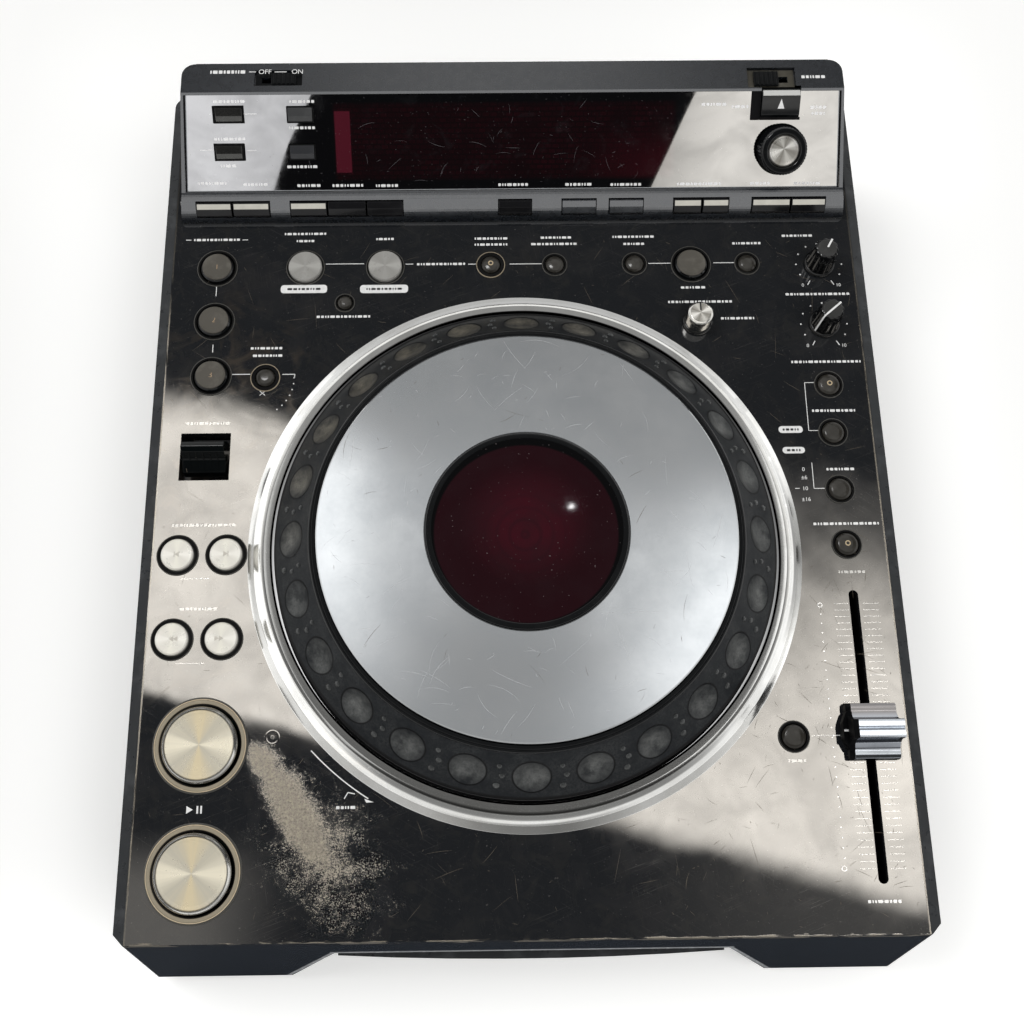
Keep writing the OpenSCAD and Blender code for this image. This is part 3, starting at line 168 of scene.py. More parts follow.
def filleted(corners, closed=True, steps=4):
    """Outline of (a, b) or (a, b, radius) corners, each rounded by its radius."""
    outline = []
    for i, corner in enumerate(corners):
        here = Vector(corner[:2])
        radius = corner[2] if len(corner) > 2 else 0
        if radius <= 0 or (not closed and i in (0, len(corners) - 1)):
            outline.append(here)
            continue
        back = Vector(corners[i - 1][:2]) - here
        ahead = Vector(corners[(i + 1) % len(corners)][:2]) - here
        u, v = back.normalized(), ahead.normalized()
        half = math.acos(max(-1.0, min(1.0, u.dot(v)))) / 2
        reach = min(radius / math.tan(half), 0.49 * back.length, 0.49 * ahead.length)
        centre = here + (u + v).normalized() * (reach / math.cos(half))
        start, end = here + u * reach - centre, here + v * reach - centre
        first = math.atan2(start.y, start.x)
        sweep = (math.atan2(end.y, end.x) - first + math.pi) % (2 * math.pi) - math.pi
        for k in range(steps + 1):
            a = first + sweep * k / steps
            outline.append(centre + Vector((math.cos(a), math.sin(a))) * start.length)
    return outline


def turned(corners, place, steps=96, closed=True, shift=None):
    """Outline of (radius, height, rounding) corners turned about the z axis of place."""
    points, rings, faces = [], [], []
    for p in filleted(corners, closed):
        on_axis = p.x < 1e-6
        rings.append([])
        for i in range(1 if on_axis else steps):
            a = 2 * math.pi * i / steps
            r, h = (0, p.y) if on_axis else shift(p.x, p.y, a) if shift else (p.x, p.y)
            rings[-1].append(len(points))
            points.append(place @ Vector((r * math.cos(a), r * math.sin(a), h)))
    for a, b in zip(rings, rings[1:] + (rings[:1] if closed else [])):
        for i in range(steps):
            j = (i + 1) % steps
            if len(a) == 1 and len(b) > 1:
                faces.append((a[0], b[j], b[i]))
            elif len(b) == 1 and len(a) > 1:
                faces.append((a[i], a[j], b[0]))
            elif len(a) > 1:
                faces.append((a[i], a[j], b[j], b[i]))
    return points, faces


def extruded(corners, low, high, place, rounding=4):
    """Outline of (x, y, rounding) corners between two heights of place."""
    outline = filleted(corners, True, rounding)
    n = len(outline)
    points = [place @ Vector((p.x, p.y, h)) for h in (low, high) for p in outline]
    faces = [tuple(reversed(range(n))), tuple(range(n, 2 * n))]
    faces += [(i, (i + 1) % n, n + (i + 1) % n, n + i) for i in range(n)]
    return points, faces


def block(x0, x1, y0, y1, low, high, place, corner=0.0):
    return extruded(rectangle(x0, y0, x1, y1, corner), low, high, place)


PIECES = {}


def add_piece(name, shapes, look, body, stands_for=(), bevel=0.0, sharp=35):
    """One object of all the shapes, which rides on a body and may stand for CAD nodes."""
    points, faces = [], []
    for shape_points, shape_faces in shapes:
        start = len(points)
        points += [p * MM for p in shape_points]
        faces += [tuple(start + i for i in f) for f in shape_faces]
    data = bpy.data.meshes.new(name)
    data.from_pydata(points, [], faces)
    welded = bmesh.new()
    welded.from_mesh(data)
    bmesh.ops.recalc_face_normals(welded, faces=welded.faces)
    welded.to_mesh(data)
    welded.free()
    data.materials.append(M[look])
    data.polygons.foreach_set("use_smooth", [True] * len(data.polygons))
    data.set_sharp_from_angle(angle=math.radians(sharp))
    piece = bpy.data.objects.new(name, data)
    scene.collection.objects.link(piece)
    if bevel:
        round_edges(piece, bevel)
    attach(piece, body)
    if stands_for:
        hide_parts(*stands_for)
    PIECES[name] = piece
    return piece


def round_edges(piece, width):
    modifier = piece.modifiers.new("edges", "BEVEL")
    modifier.width = width * MM
    modifier.segments = 3
    modifier.limit_method = "ANGLE"
    modifier.angle_limit = math.radians(35)
    modifier.harden_normals = True


# ---------------------------------------------------------------- materials
class Value:
    """What a node puts out. Numbers add up and multiply like any other."""

    def __init__(self, graph, socket):
        self.graph, self.socket = graph, socket

    def maths(self, operation, b=0.0, c=0.0):
        return self.graph.maths(operation, self, b, c)

    def __add__(self, other):
        return self.maths("ADD", other)

    def __sub__(self, other):
        return self.maths("SUBTRACT", other)

    def __mul__(self, other):
        return self.maths("MULTIPLY", other)

    def __rsub__(self, other):
        return self.graph.maths("SUBTRACT", other, self)

    def __abs__(self):
        return self.maths("ABSOLUTE")

    __radd__, __rmul__ = __add__, __mul__

    def ramp(self, low, high, to_low=0.0, to_high=1.0, kind="LINEAR"):
        """Runs from to_low at low to to_high at high, and stays level beyond both."""
        return self.graph.out("ShaderNodeMapRange", "Result", {
            "Value": self, "From Min": low, "From Max": high, "To Min": to_low, "To Max": to_high},
            interpolation_type=kind)

    def soft(self, low, high, to_low=0.0, to_high=1.0):
        """Like ramp, with rounded ends."""
        return self.ramp(low, high, to_low, to_high, "SMOOTHSTEP")


class Graph:
    """The nodes of a material or world being put together; lengths go in as millimetres."""

    def __init__(self, owner):
        self.owner = owner
        owner.use_nodes = True
        self.tree = owner.node_tree
        self.place = self.out("ShaderNodeTexCoord", "Object")

    def add(self, kind, inputs=None, **settings):
        node = self.tree.nodes.new(kind)
        for key, value in settings.items():
            setattr(node, key, value)
        for key, value in (inputs or {}).items():
            self.put(node.inputs[key], value)
        return node

    def out(self, kind, output, inputs=None, **settings):
        return Value(self, self.add(kind, inputs, **settings).outputs[output])

    def put(self, socket, value):
        if isinstance(value, Value):
            self.tree.links.new(value.socket, socket)
        elif socket.type == "RGBA":
            socket.default_value = (*value, 1)
        else:
            socket.default_value = value

    def mapped(self, scale=(1, 1, 1), angle=0.0, centre=(0, 0, 0)):
        """Coordinates in millimetres about centre, turned by angle and then scaled."""
        return self.out("ShaderNodeMapping", "Vector", {
            "Vector": self.place, "Location": [c * MM for c in centre], "Rotation": (0, 0, angle),
            "Scale": [s * MM for s in scale]}, vector_type="TEXTURE")

    def noise(self, size, detail=4.0, roughness=0.55, distortion=0.0, angle=0.0, centre=(0, 0, 0)):
        """Noise with grains of a size in millimetres, or of three sizes along the axes."""
        size = size if isinstance(size, tuple) else (size, size, size)
        return self.out("ShaderNodeTexNoise", "Fac", {
            "Vector": self.mapped(size, angle, centre), "Scale": 1.0, "Detail": detail,
            "Roughness": roughness, "Distortion": distortion})

    def streaks(self, source, scale, detail=3.0):
        """Noise along one number."""
        return self.out("ShaderNodeTexNoise", "Fac", {"W": source * scale, "Scale": 1.0, "Detail": detail},
                        noise_dimensions="1D")

    def mix(self, factor, a, b):
        node = self.add("ShaderNodeMix", data_type="RGBA")
        for key, value in (("Factor_Float", factor), ("A_Color", a), ("B_Color", b)):
            self.put(next(i for i in node.inputs if i.identifier == key), value)
        return Value(self, next(o for o in node.outputs if o.identifier == "Result_Color"))

    def maths(self, operation, a, b=0.0, c=0.0):
        return self.out("ShaderNodeMath", 0, {0: a, 1: b, 2: c}, operation=operation)

    def most(self, *values):
        result = values[0]
        for value in values[1:]:
            result = self.maths("MAXIMUM", result, value)
        return result

    def spot(self, centre, size, angle=0.0):
        """1 in the middle of an ellipse on the xy plane, 0 on its edge, negative outside."""
        flat = self.mapped((size[0], size[1], 1e6), angle, (*centre, 0))
        return 1.0 - self.out("ShaderNodeVectorMath", "Value", {0: flat}, operation="LENGTH")

    def radius(self, centre):
        """Distance in millimetres from a vertical axis."""
        flat = self.mapped((1, 1, 1e6), 0, (*centre, 0))
        return self.out("ShaderNodeVectorMath", "Value", {0: flat}, operation="LENGTH")

    def split(self, vector):
        node = self.add("ShaderNodeSeparateXYZ", {"Vector": vector})
        return [Value(self, node.outputs[axis]) for axis in "XYZ"]

    def axes(self, centre=(0, 0, 0), scale=1.0):
        """The x, y and z of a point in millimetres about centre."""
        return self.split(self.mapped((scale,) * 3, 0, centre))


class Surface(Graph):
    """A piece's material: a principled shader and what feeds it."""

    def __init__(self, name, colour, roughness, metallic=0.0, **sockets):
        super().__init__(bpy.data.materials.new(name))
        self.shader = self.tree.nodes["Principled BSDF"]
        self.feed("Base Color", colour)
        self.feed("Roughness", roughness)
        self.feed("Metallic", metallic)
        for socket, value in sockets.items():
            self.feed(socket.replace("_", " "), value)

    def feed(self, socket, value):
        self.put(self.shader.inputs[socket], value)

    def scratches(self, length, width, angle, share=0.62, wander=0.0, break_up=14.0):
        """Thin lines at an angle; share is the noise level above which a line shows."""
        line = self.noise((length, width, length), 1.0, 0.5, wander, angle)
        return line.ramp(share, share + 0.02) * self.noise(break_up, 2.0).ramp(0.45, 0.6)

    def brushed_round(self):
        self.feed("Tangent", self.out("ShaderNodeTangent", "Tangent", direction_type="RADIAL", axis="Z"))

    def bump(self, height, strength, distance):
        node = self.add("ShaderNodeBump", {"Height": height, "Strength": strength, "Distance": distance * MM})
        previous = self.shader.inputs["Normal"]
        if previous.is_linked:
            self.tree.links.new(previous.links[0].from_socket, node.inputs["Normal"])
        self.feed("Normal", Value(self, node.outputs["Normal"]))


def shaded(colour, share):
    return tuple(c * share for c in colour)


def plastic(name, colour, roughness, grain=0.25, grain_height=0.01, wear=0.0, specular=0.5):
    """Moulded plastic: fine grain, uneven gloss and dusty, rubbed places."""
    s = Surface(name, colour, roughness, Specular_IOR_Level=specular)
    rubbed = s.noise(9.0, 6.0, 0.6).ramp(0.5, 0.75, 0.0, wear)
    s.feed("Base Color", s.mix(rubbed, colour, tuple(min(1.0, c * 1.8 + 0.03) for c in colour)))
    s.feed("Roughness", s.noise(4.0).ramp(0.3, 0.7, roughness * 0.85, min(1, roughness * 1.2)))
    s.bump(s.noise(grain, 2.0), 0.4, grain_height)
    return s.owner


def metal(name, colour, roughness, brushed=False):
    """Bare metal with fine scratches; brushed metal is turned about its own axis."""
    s = Surface(name, colour, roughness, 1.0, Anisotropic=0.7 if brushed else 0.0)
    if brushed:
        s.brushed_round()
    lines = s.most(*[s.scratches(18, 0.12, a, 0.66) for a in (0.3, 1.4, 2.5)])
    s.feed("Base Color", s.mix(s.noise(6.0).ramp(0.3, 0.7), colour, shaded(colour, 0.86)))
    s.feed("Roughness", s.noise(3.0).ramp(0.3, 0.7, roughness * 0.85, roughness * 1.15) + lines * 0.15)
    s.bump(lines, 0.3, 0.02)
    return s.owner


DECK_BLACK = (0.0095, 0.0105, 0.0122)
BARE_METAL = (0.25, 0.222, 0.175)
WEAR_ANGLE = math.radians(-58)
WEAR_CORE = ((-90.5, -137), (27, 8.5), WEAR_ANGLE)
WEAR_HEAD = ((-104.5, -117), (10, 5), WEAR_ANGLE)
WEAR_HALO = ((-79, -155), (38, 26), WEAR_ANGLE)
DENT = (-101.5, -106.4)


def deck_paint():
    """Black gloss lacquer: dull clouds, dried stains, a speckled bare patch, a rubbed edge that along the
    front and sides is also a painted edge highlight, and a dent with painted shade in and round it.
    """
    s = Surface("deck_paint", DECK_BLACK, 0.05, Specular_IOR_Level=0.42)
    x, y, _ = s.axes()
    low, high = node_box("deck_panel")
    ragged = s.noise(0.55, 5.0, 0.8).ramp(0.3, 0.7, -0.95, 0.95)
    ragged = ragged + s.noise(7.0, 5.0, 0.7).ramp(0.3, 0.7, -0.5, 0.5)
    core = (s.most(s.spot(*WEAR_CORE), s.spot(*WEAR_HEAD)) * 2.0 + ragged).ramp(0.0, 0.3)
    halo = (s.spot(*WEAR_HALO) * 0.75 + ragged * 0.8).ramp(0.62, 0.75)
    # Front and side edges: rubbed bare metal that is also a painted pale highlight along the panel's edges
    front = (y + s.noise((9.0, 1.0, 1.0)).ramp(0.3, 0.7, -0.5, 0.5)).ramp(DECK_FRONT + 0.5, DECK_FRONT + 0.2)
    front = front * s.noise((16.0, 3.0, 3.0)).ramp(0.47, 0.52)
    sides = s.most(x.ramp(low.x + 0.75, low.x + 0.45), x.ramp(high.x - 0.75, high.x - 0.45))
    sides = sides * s.noise((2.0, 26.0, 2.0), 3.0).ramp(0.36, 0.46) * y.soft(140, 60, 0.25, 0.8)
    bare = s.most(core * s.noise(0.9, 6.0, 0.85).ramp(0.38, 0.58, 0.2, 1.0), halo * 0.7,
                  s.most(front, sides) * 0.6)
    specks = s.noise(0.8, 1.0, 0.3).ramp(0.775, 0.8)
    lines = s.most(s.scratches(20, 0.16, 0.35, 0.7, 0.0, 30), s.scratches(14, 0.13, 1.75, 0.7, 0.2, 25),
                   s.scratches(24, 0.16, 2.6, 0.7, 0.4, 35))
    smudge = s.noise(26.0, 6.0, 0.62, 0.6).ramp(0.48, 0.72)
    brown = s.noise(17.0, 5.0, 0.6, 1.5, centre=(60, 10, 0)).ramp(0.52, 0.68)
    brown = brown * s.spot((-125, -5), (60, 110)).soft(-0.1, 0.5)
    grime = s.noise(9.0, 6.0, 0.7, 1.2, centre=(15, 40, 0)).ramp(0.5, 0.68)
    colour = s.mix(smudge * 0.6, DECK_BLACK, (0.019, 0.019, 0.02))
    colour = s.mix(brown * 0.7, colour, (0.045, 0.036, 0.027))
    colour = s.mix(grime * 0.4, colour, (0.024, 0.023, 0.021))
    colour = s.mix(s.most(lines * 0.5, specks) * 0.35, colour, (0.16, 0.15, 0.14))
    metal_colour = s.mix(s.noise(1.2, 5.0, 0.7).ramp(0.35, 0.65), BARE_METAL, shaded(BARE_METAL, 0.5))
    colour = s.mix(bare, colour, metal_colour)
    # Painted shade: near black in the dent's pit and in a thin ring round it
    dent_shade = s.radius(DENT).ramp(0.5, 0.9, 1.0, 0.0)
    ring = abs(s.radius(DENT) - 2.6).ramp(0.1, 0.5, 0.5, 0.0)
    s.feed("Base Color", s.mix(s.most(dent_shade, ring), colour, (0.004, 0.004, 0.004)))
    gloss = smudge.ramp(0, 1, 0.035, 0.065) + lines * 0.08 + brown * 0.04
    s.feed("Roughness", s.mix(s.most(bare, dent_shade), gloss, (0.6, 0.6, 0.6)))
    s.bump(s.noise(30.0, 2.0, 0.4), 0.2, 0.2)
    s.bump(s.most(bare, dent_shade, ring), 0.3, 0.06)
    return s.owner


def plate_metal():
    """Spun aluminium worn dull."""
    s = Surface("plate_metal", (0.62, 0.635, 0.645), 0.2, 0.88, Anisotropic=0.3)
    s.brushed_round()
    dull = s.noise(30.0, 6.0, 0.65).ramp(0.35, 0.7)
    s.feed("Base Color", s.mix(dull, (0.6, 0.615, 0.625), (0.5, 0.52, 0.535)))
    s.feed("Roughness", dull.ramp(0, 1, 0.11, 0.17))
    s.bump(s.streaks(s.radius(JOG_AXIS), 5.0), 0.04, 0.01)
    return s.owner


def lens_glass():
    """Dark red lens: concentric rings behind it, dust on it, a painted lit middle and a painted shadow round
    its edge, wider at the back.
    """
    s = Surface("lens_glass", (0.024, 0.0028, 0.0055), 0.12, Specular_IOR_Level=0.3)
    distance = s.radius((JOG.x - 1, JOG.y - 3))
    ring = (distance * 1.25).maths("SINE").ramp(0.2, 1.0) * distance.ramp(2.0, 24.0, 1.0, 0.0)
    # Painted light and shade: a lighter middle, and black round the edge outside the spot below, wider at the
    # back
    lit = s.spot((JOG.x, JOG.y + 2), (30, 28)).soft(0.0, 0.8)
    clear_of_edge_shadow = s.spot((JOG.x - 0.5, JOG.y - 1.6), (37.2, 37.2)).ramp(0.0, 0.02)
    specks = s.noise(0.8, 1.0, 0.3).ramp(0.765, 0.79)
    colour = s.mix(lit * 0.6, (0.013, 0.0022, 0.004), (0.05, 0.0045, 0.01))
    colour = s.mix(ring * 0.3, colour, (0.005, 0.003, 0.005))
    colour = s.mix(s.noise(14.0).ramp(0.4, 0.75, 0.0, 0.5), colour, (0.016, 0.006, 0.008))
    colour = s.mix(clear_of_edge_shadow, (0.0012, 0.0012, 0.0015), colour)
    s.feed("Base Color", s.mix(specks * 0.4, colour, (0.2, 0.17, 0.17)))
    s.feed("Roughness", s.noise(10.0).ramp(0.3, 0.7, 0.035, 0.07))
    s.bump(s.noise(6.0, 2.0), 0.05, 0.02)
    return s.owner


# Places on the window: low x, high x, low and high along its slope
DISPLAY_AREA, LIT_BAR = (-79.9, 72.5, 5.0, 37.5), (-79.9, -73.0, 8.0, 34.6)


def window_glass():
    """Smoked window: black gloss, the dark red display behind it and a lit bar at its left."""
    s = Surface("window_glass", (0.001, 0.001, 0.0015), 0.03, Specular_IOR_Level=0.45)
    x, _, z = s.axes()
    slope = (z - WIN_Z) * (1 / math.sin(WINDOW_TILT))

    def inside(area, blur):
        low_x, high_x, low_s, high_s = area
        return (x.ramp(low_x - blur, low_x + blur) * x.ramp(high_x - blur, high_x + blur, 1, 0)
                * slope.ramp(low_s - blur, low_s + blur) * slope.ramp(high_s - blur, high_s + blur, 1, 0))

    cells = s.out("ShaderNodeTexBrick", "Color", {
        "Vector": s.mapped((7.0, 7.0, 5.0)), "Scale": 1.0, "Mortar Size": 0.04,
        "Color1": (0.0105, 0.0009, 0.0022), "Color2": (0.0075, 0.0008, 0.0018),
        "Mortar": (0.0035, 0.0006, 0.0012)})
    lit = s.mix(s.noise(12.0).ramp(0.35, 0.7), cells, (0.0035, 0.0006, 0.0012))
    lit = s.mix(x.soft(20, 70) * slope.soft(30, 10), lit, (0.018, 0.0012, 0.003))
    haze = s.noise(9.0, 6.0, 0.7, 0.8).ramp(0.55, 0.78) * s.spot((0, 158), (85, 26)).soft(0, 0.6)
    specks = s.noise(0.7, 1.0, 0.3).ramp(0.76, 0.79)
    colour = s.mix(inside(DISPLAY_AREA, 1.2), (0.001, 0.001, 0.0015), lit)
    colour = s.mix(inside(LIT_BAR, 0.3), colour, (0.062, 0.006, 0.013))
    colour = s.mix(haze * 0.07, colour, (0.12, 0.125, 0.14))
    s.feed("Base Color", s.mix(specks * 0.2, colour, (0.25, 0.24, 0.25)))
    s.feed("Roughness", s.noise(11.0, 5.0, 0.65).ramp(0.5, 0.75, 0.02, 0.06) + haze * 0.1)
    s.bump(s.noise(45.0, 1.0), 0.1, 0.15)
    return s.owner


DIMPLES, DIMPLE_SPHERE, DIMPLE_DEPTH = 24, 20.0, 1.5
DIMPLE_R = math.sqrt(DIMPLE_SPHERE ** 2 - (DIMPLE_SPHERE - DIMPLE_DEPTH) ** 2)
DIAL_BLACK = (0.007, 0.0085, 0.0105)


def dial_plastic():
    """Dark satin dial, with dust that has settled in its dimples and a painted sheen in them, and painted
    shade along each dimple's rim and at its outer edge.
    """
    s = Surface("dial_plastic", DIAL_BLACK, 0.3, Specular_IOR_Level=0.15)
    x, y, _ = s.axes((*JOG_AXIS, 0))
    distance = s.radius(JOG_AXIS)
    pitch = math.pi / DIMPLES
    around = y.maths("ARCTAN2", x).maths("WRAP", pitch, -pitch) * distance
    along = distance - (GRIP_LOW.x + GRIP_HIGH.x) / 2
    along = along * ((GRIP_HIGH - GRIP_LOW).length / (GRIP_LOW.x - GRIP_HIGH.x))
    away = (around * around + along * along).maths("SQRT") * (1 / DIMPLE_R)
    # Painted shade: a dark line along each dimple's rim
    rim = abs(away - 1.0).ramp(0.02, 0.07, 1.0, 0.0)
    dust = s.noise(8.0, 6.0, 0.65).ramp(0.35, 0.7)
    grit = s.noise(0.8, 4.0, 0.75).ramp(0.35, 0.65)
    # Dust in the dimples with painted sheen: lighter towards each dimple's middle and slightly towards the
    # front
    dimple_dust_and_sheen = away.ramp(0.99, 0.93) * away.ramp(1.0, 0.2, 0.4, 1.0) * (x * 0.3 - y).ramp(-90, 90, 0.9, 1.0)
    dust_and_sheen = s.most(dimple_dust_and_sheen * (dust * 0.75 + 0.12) * (grit * 0.35 + 0.65), dust * grit * 0.16)
    brown = (y - x * 0.5).soft(20, 110)
    colour = s.mix(dust_and_sheen, DIAL_BLACK, s.mix(brown, (0.2, 0.204, 0.197), (0.25, 0.225, 0.175)))
    # Painted shadow: black at the dial's outer edge, by the gap to the bezel
    outer = distance.ramp(DIAL_R - 1.4, DIAL_R - 0.9)
    s.feed("Base Color", s.mix(s.most(rim * 0.9, outer), colour, (0.002, 0.002, 0.0025)))
    s.feed("Roughness", dust_and_sheen.ramp(0, 1, 0.3, 0.55))
    s.bump(s.noise(0.5, 3.0), 0.12, 0.02)
    return s.owner


def bezel_metal():
    """Satin ring, turned about the jog, with nicks and dull stretches, painted shade on its foot and crest
    and a painted black shadow at its inner edge.
    """
    s = Surface("bezel_metal", (0.72, 0.72, 0.705), 0.2, 0.97, Anisotropic=0.1)
    s.brushed_round()
    x, y, _ = s.axes((*JOG_AXIS, 0))
    distance = s.radius(JOG_AXIS)
    dull = s.noise(22.0, 5.0, 0.65).ramp(0.4, 0.7)
    # Painted shade: a darker foot in four lobes, at 0, 90, 180 and 270 degrees, more at the front and right;
    # a darker crest at the front; black at the inner edge
    shade_lobes = (y.maths("ARCTAN2", x) * 4.0).maths("COSINE").ramp(0.0, 0.95)
    foot = (distance + x * 0.006).ramp(112.9, 113.5) * shade_lobes * y.soft(60, 0) * x.soft(-110, 80, 0.5, 0.95)
    crest = distance.ramp(108.9, 109.5) * distance.ramp(112.4, 111.8) * y.soft(-70, -100)
    throat_shadow = distance.ramp(BEZEL_IN + 1.1, BEZEL_IN + 0.6)
    colour = s.mix(dull, (0.76, 0.76, 0.74), (0.63, 0.625, 0.6))
    colour = s.mix(s.most(foot, crest * 0.9), colour, (0.16, 0.16, 0.155))
    s.feed("Base Color", s.mix(throat_shadow, colour, (0.003, 0.003, 0.003)))
    s.feed("Roughness", dull.ramp(0, 1, 0.1, 0.17))
    s.bump(s.streaks(distance, 7.0), 0.08, 0.02)
    return s.owner


def spun_cap(name, pale, warm, deep, metallic, sheen_angle=0.0):
    """Spun cap with painted sheen: wedges run out from its middle, pale highlight ones across warm ones, with
    painted shade of the deep colour between.
    """
    s = Surface(name, pale, 0.28, metallic)
    within = s.out("ShaderNodeTexCoord", "Generated")
    x, y, _ = s.split(s.out("ShaderNodeVectorMath", 0, {0: within, 1: (0.5, 0.5, 0.5)}, operation="SUBTRACT"))
    angle = y.maths("ARCTAN2", x)
    wedge = angle * 2.0 - 2 * sheen_angle
    streak = s.streaks(angle, 5.0, 6.0).ramp(0.3, 0.7, -0.12, 0.12)
    # Painted shade: wedges of the deep colour between the pale and warm ones, with radial streaks
    shaded_wedges = abs(wedge.maths("SINE")).ramp(0.25, 1.0, 0.0, 0.9)
    colour = s.mix(wedge.maths("COSINE").ramp(-0.7, 0.7), warm, pale)
    s.feed("Base Color", s.mix(shaded_wedges + streak, colour, deep))
    s.feed("Roughness", s.noise(5.0).ramp(0.3, 0.7, 0.24, 0.36))
    s.bump(s.noise((0.3, 0.3, 3.0)), 0.05, 0.01)
    return s.owner


def ink(name, colour):
    """Printed ink, rubbed thin in places."""
    s = Surface(name, colour, 0.06, Specular_IOR_Level=0.42)
    s.feed("Base Color", s.mix(s.noise(2.5, 5.0, 0.7).ramp(0.45, 0.75, 0, 0.5), colour, shaded(colour, 0.6)))
    s.bump(s.noise(3.0), 0.05, 0.002)
    return s.owner


def fader_metal(colour, back_scoop_shade, roughness):
    """Machined metal with fine lines along its length, soft spots of wear and painted shade that darkens its
    back scoop.
    """
    s = Surface("fader_metal", colour, roughness, 1.0)
    worn = s.noise(7.0, 5.0, 0.6).ramp(0.4, 0.75)
    _, y, _ = s.axes(middle("fader_knob"))
    # Painted shade: the back scoop takes a darker colour
    s.feed("Base Color", s.mix(y.soft(4.0, 8.0), s.mix(worn, colour, shaded(colour, 0.85)), back_scoop_shade))
    s.feed("Roughness", worn.ramp(0, 1, roughness * 0.8, roughness * 1.5))
    s.bump(s.noise((6.0, 0.2, 0.2)), 0.04, 0.005)
    return s.owner


# Colour, roughness, grain, height of the grain, wear and specular level
PLASTICS = {
    "case": ((0.027, 0.029, 0.031), 0.3, 0.3, 0.02, 0.6),
    "fascia": ((0.008, 0.011, 0.0155), 0.14, 0.5, 0.003, 0.12, 0.4),
    "housing": ((0.005, 0.0062, 0.0082), 0.27, 0.25, 0.004, 0.12),
    "bed_dusty": ((0.06, 0.055, 0.043), 0.5, 0.4, 0.02, 0.7),
    "inner": ((0.03, 0.03, 0.032), 0.5),
    "rear": ((0.02, 0.02, 0.022), 0.5, 0.4, 0.02, 0.1),
    "collar": ((0.004, 0.004, 0.004), 0.14, 0.3, 0.004, 0.15),
    "collar_edge": ((0.06, 0.058, 0.052), 0.35),
    "collar_tan": ((0.27, 0.225, 0.16), 0.35, 0.3, 0.01, 0.2),
    "black": ((0.004, 0.0045, 0.005), 0.1, 0.5, 0.003, 0.1),
    "black_matt": ((0.002, 0.0022, 0.0025), 0.6, 0.3, 0.004, 0.1, 0.12),
    "knob": ((0.0022, 0.0024, 0.0028), 0.13, 0.5, 0.003, 0.06, 0.35),
    "knob_top": ((0.03, 0.03, 0.029), 0.5, 0.35, 0.04, 0.5),
    "stud": ((0.034, 0.036, 0.036), 0.2, 0.4, 0.006, 0.7),
    "lever": ((0.0012, 0.002, 0.0022), 0.12, 0.5, 0.003, 0.03, 0.25),
    "rubber": ((0.012, 0.012, 0.012), 0.7, 0.6, 0.04),
    "dark_cap": ((0.05, 0.045, 0.036), 0.36, 0.5, 0.015, 0.8),
    "small_cap": ((0.02, 0.018, 0.0145), 0.17, 0.5, 0.008, 0.55, 0.35),
    "ring_line": ((0.6, 0.5, 0.35), 0.3),
    "light_ring": ((0.25, 0.215, 0.155), 0.3, 0.4, 0.01, 0.2),
    "key": ((0.006, 0.006, 0.007), 0.14, 0.4, 0.004, 0.2),
    "key_smoke": ((0.05, 0.051, 0.052), 0.12, 0.4, 0.003, 0.3),
    "key_mirror": ((0.03, 0.031, 0.034), 0.06, 0.4, 0.002, 0.2),
    "key_frame": ((0.0015, 0.0015, 0.002), 0.3, 0.4, 0.004, 0.05),
    "board": ((0.02, 0.08, 0.035), 0.35),
    "silver": ((0.55, 0.55, 0.53), 0.3, 0.3, 0.004, 0.1),
    "edge_light": ((0.3, 0.31, 0.32), 0.25, 0.4, 0.005, 0.3),
    "mark": ((0.11, 0.092, 0.07), 0.6),
    "mark_faint": ((0.13, 0.13, 0.14), 0.5),
    "mark_white": ((0.5, 0.51, 0.52), 0.5)}
INKS = {
    "ink": (0.78, 0.78, 0.77), "ink_grey": (0.4, 0.4, 0.385), "ink_pale": (0.88, 0.88, 0.88),
    "ink_dark": (0.03, 0.03, 0.03), "cap_ring": (0.5, 0.4, 0.26), "cap_sign": (0.36, 0.26, 0.17),
    "cap_mark": (0.56, 0.53, 0.47)}
METALS = {
    "cap_rim": ((0.66, 0.65, 0.62), 0.12), "chrome": ((0.7, 0.69, 0.66), 0.16, True),
    "steel": ((0.5, 0.5, 0.5), 0.35), "key_metal": ((0.42, 0.41, 0.38), 0.12),
    "key_steel": ((0.16, 0.16, 0.155), 0.25)}
# Pale, warm and deep colour of the painted sheen and shade, how metallic it is, and the angle of its sheen
SPUN_CAPS = {
    "frost": ((0.34, 0.335, 0.315), (0.27, 0.265, 0.25), (0.235, 0.23, 0.215), 0.0),
    "white_cap": ((0.8, 0.78, 0.72), (0.74, 0.72, 0.64), (0.66, 0.64, 0.58), 0.2),
    "spun": ((0.72, 0.67, 0.54), (0.58, 0.5, 0.34), (0.44, 0.415, 0.345), 0.5),
    "chrome_face": ((0.72, 0.71, 0.68), (0.5, 0.49, 0.46), (0.2, 0.19, 0.17), 0.7, 0.4)}

M = {"deck": deck_paint(), "plate": plate_metal(), "lens": lens_glass(), "window": window_glass(),
     "dial": dial_plastic(), "bezel": bezel_metal(),
     "fader": fader_metal((0.47, 0.5, 0.545), (0.2914, 0.28, 0.2834), 0.09)}
for make, looks in ((plastic, PLASTICS), (metal, METALS), (spun_cap, SPUN_CAPS)):
    M.update({name: make(name, *values) for name, values in looks.items()})
M.update({name: ink(name, colour) for name, colour in INKS.items()})

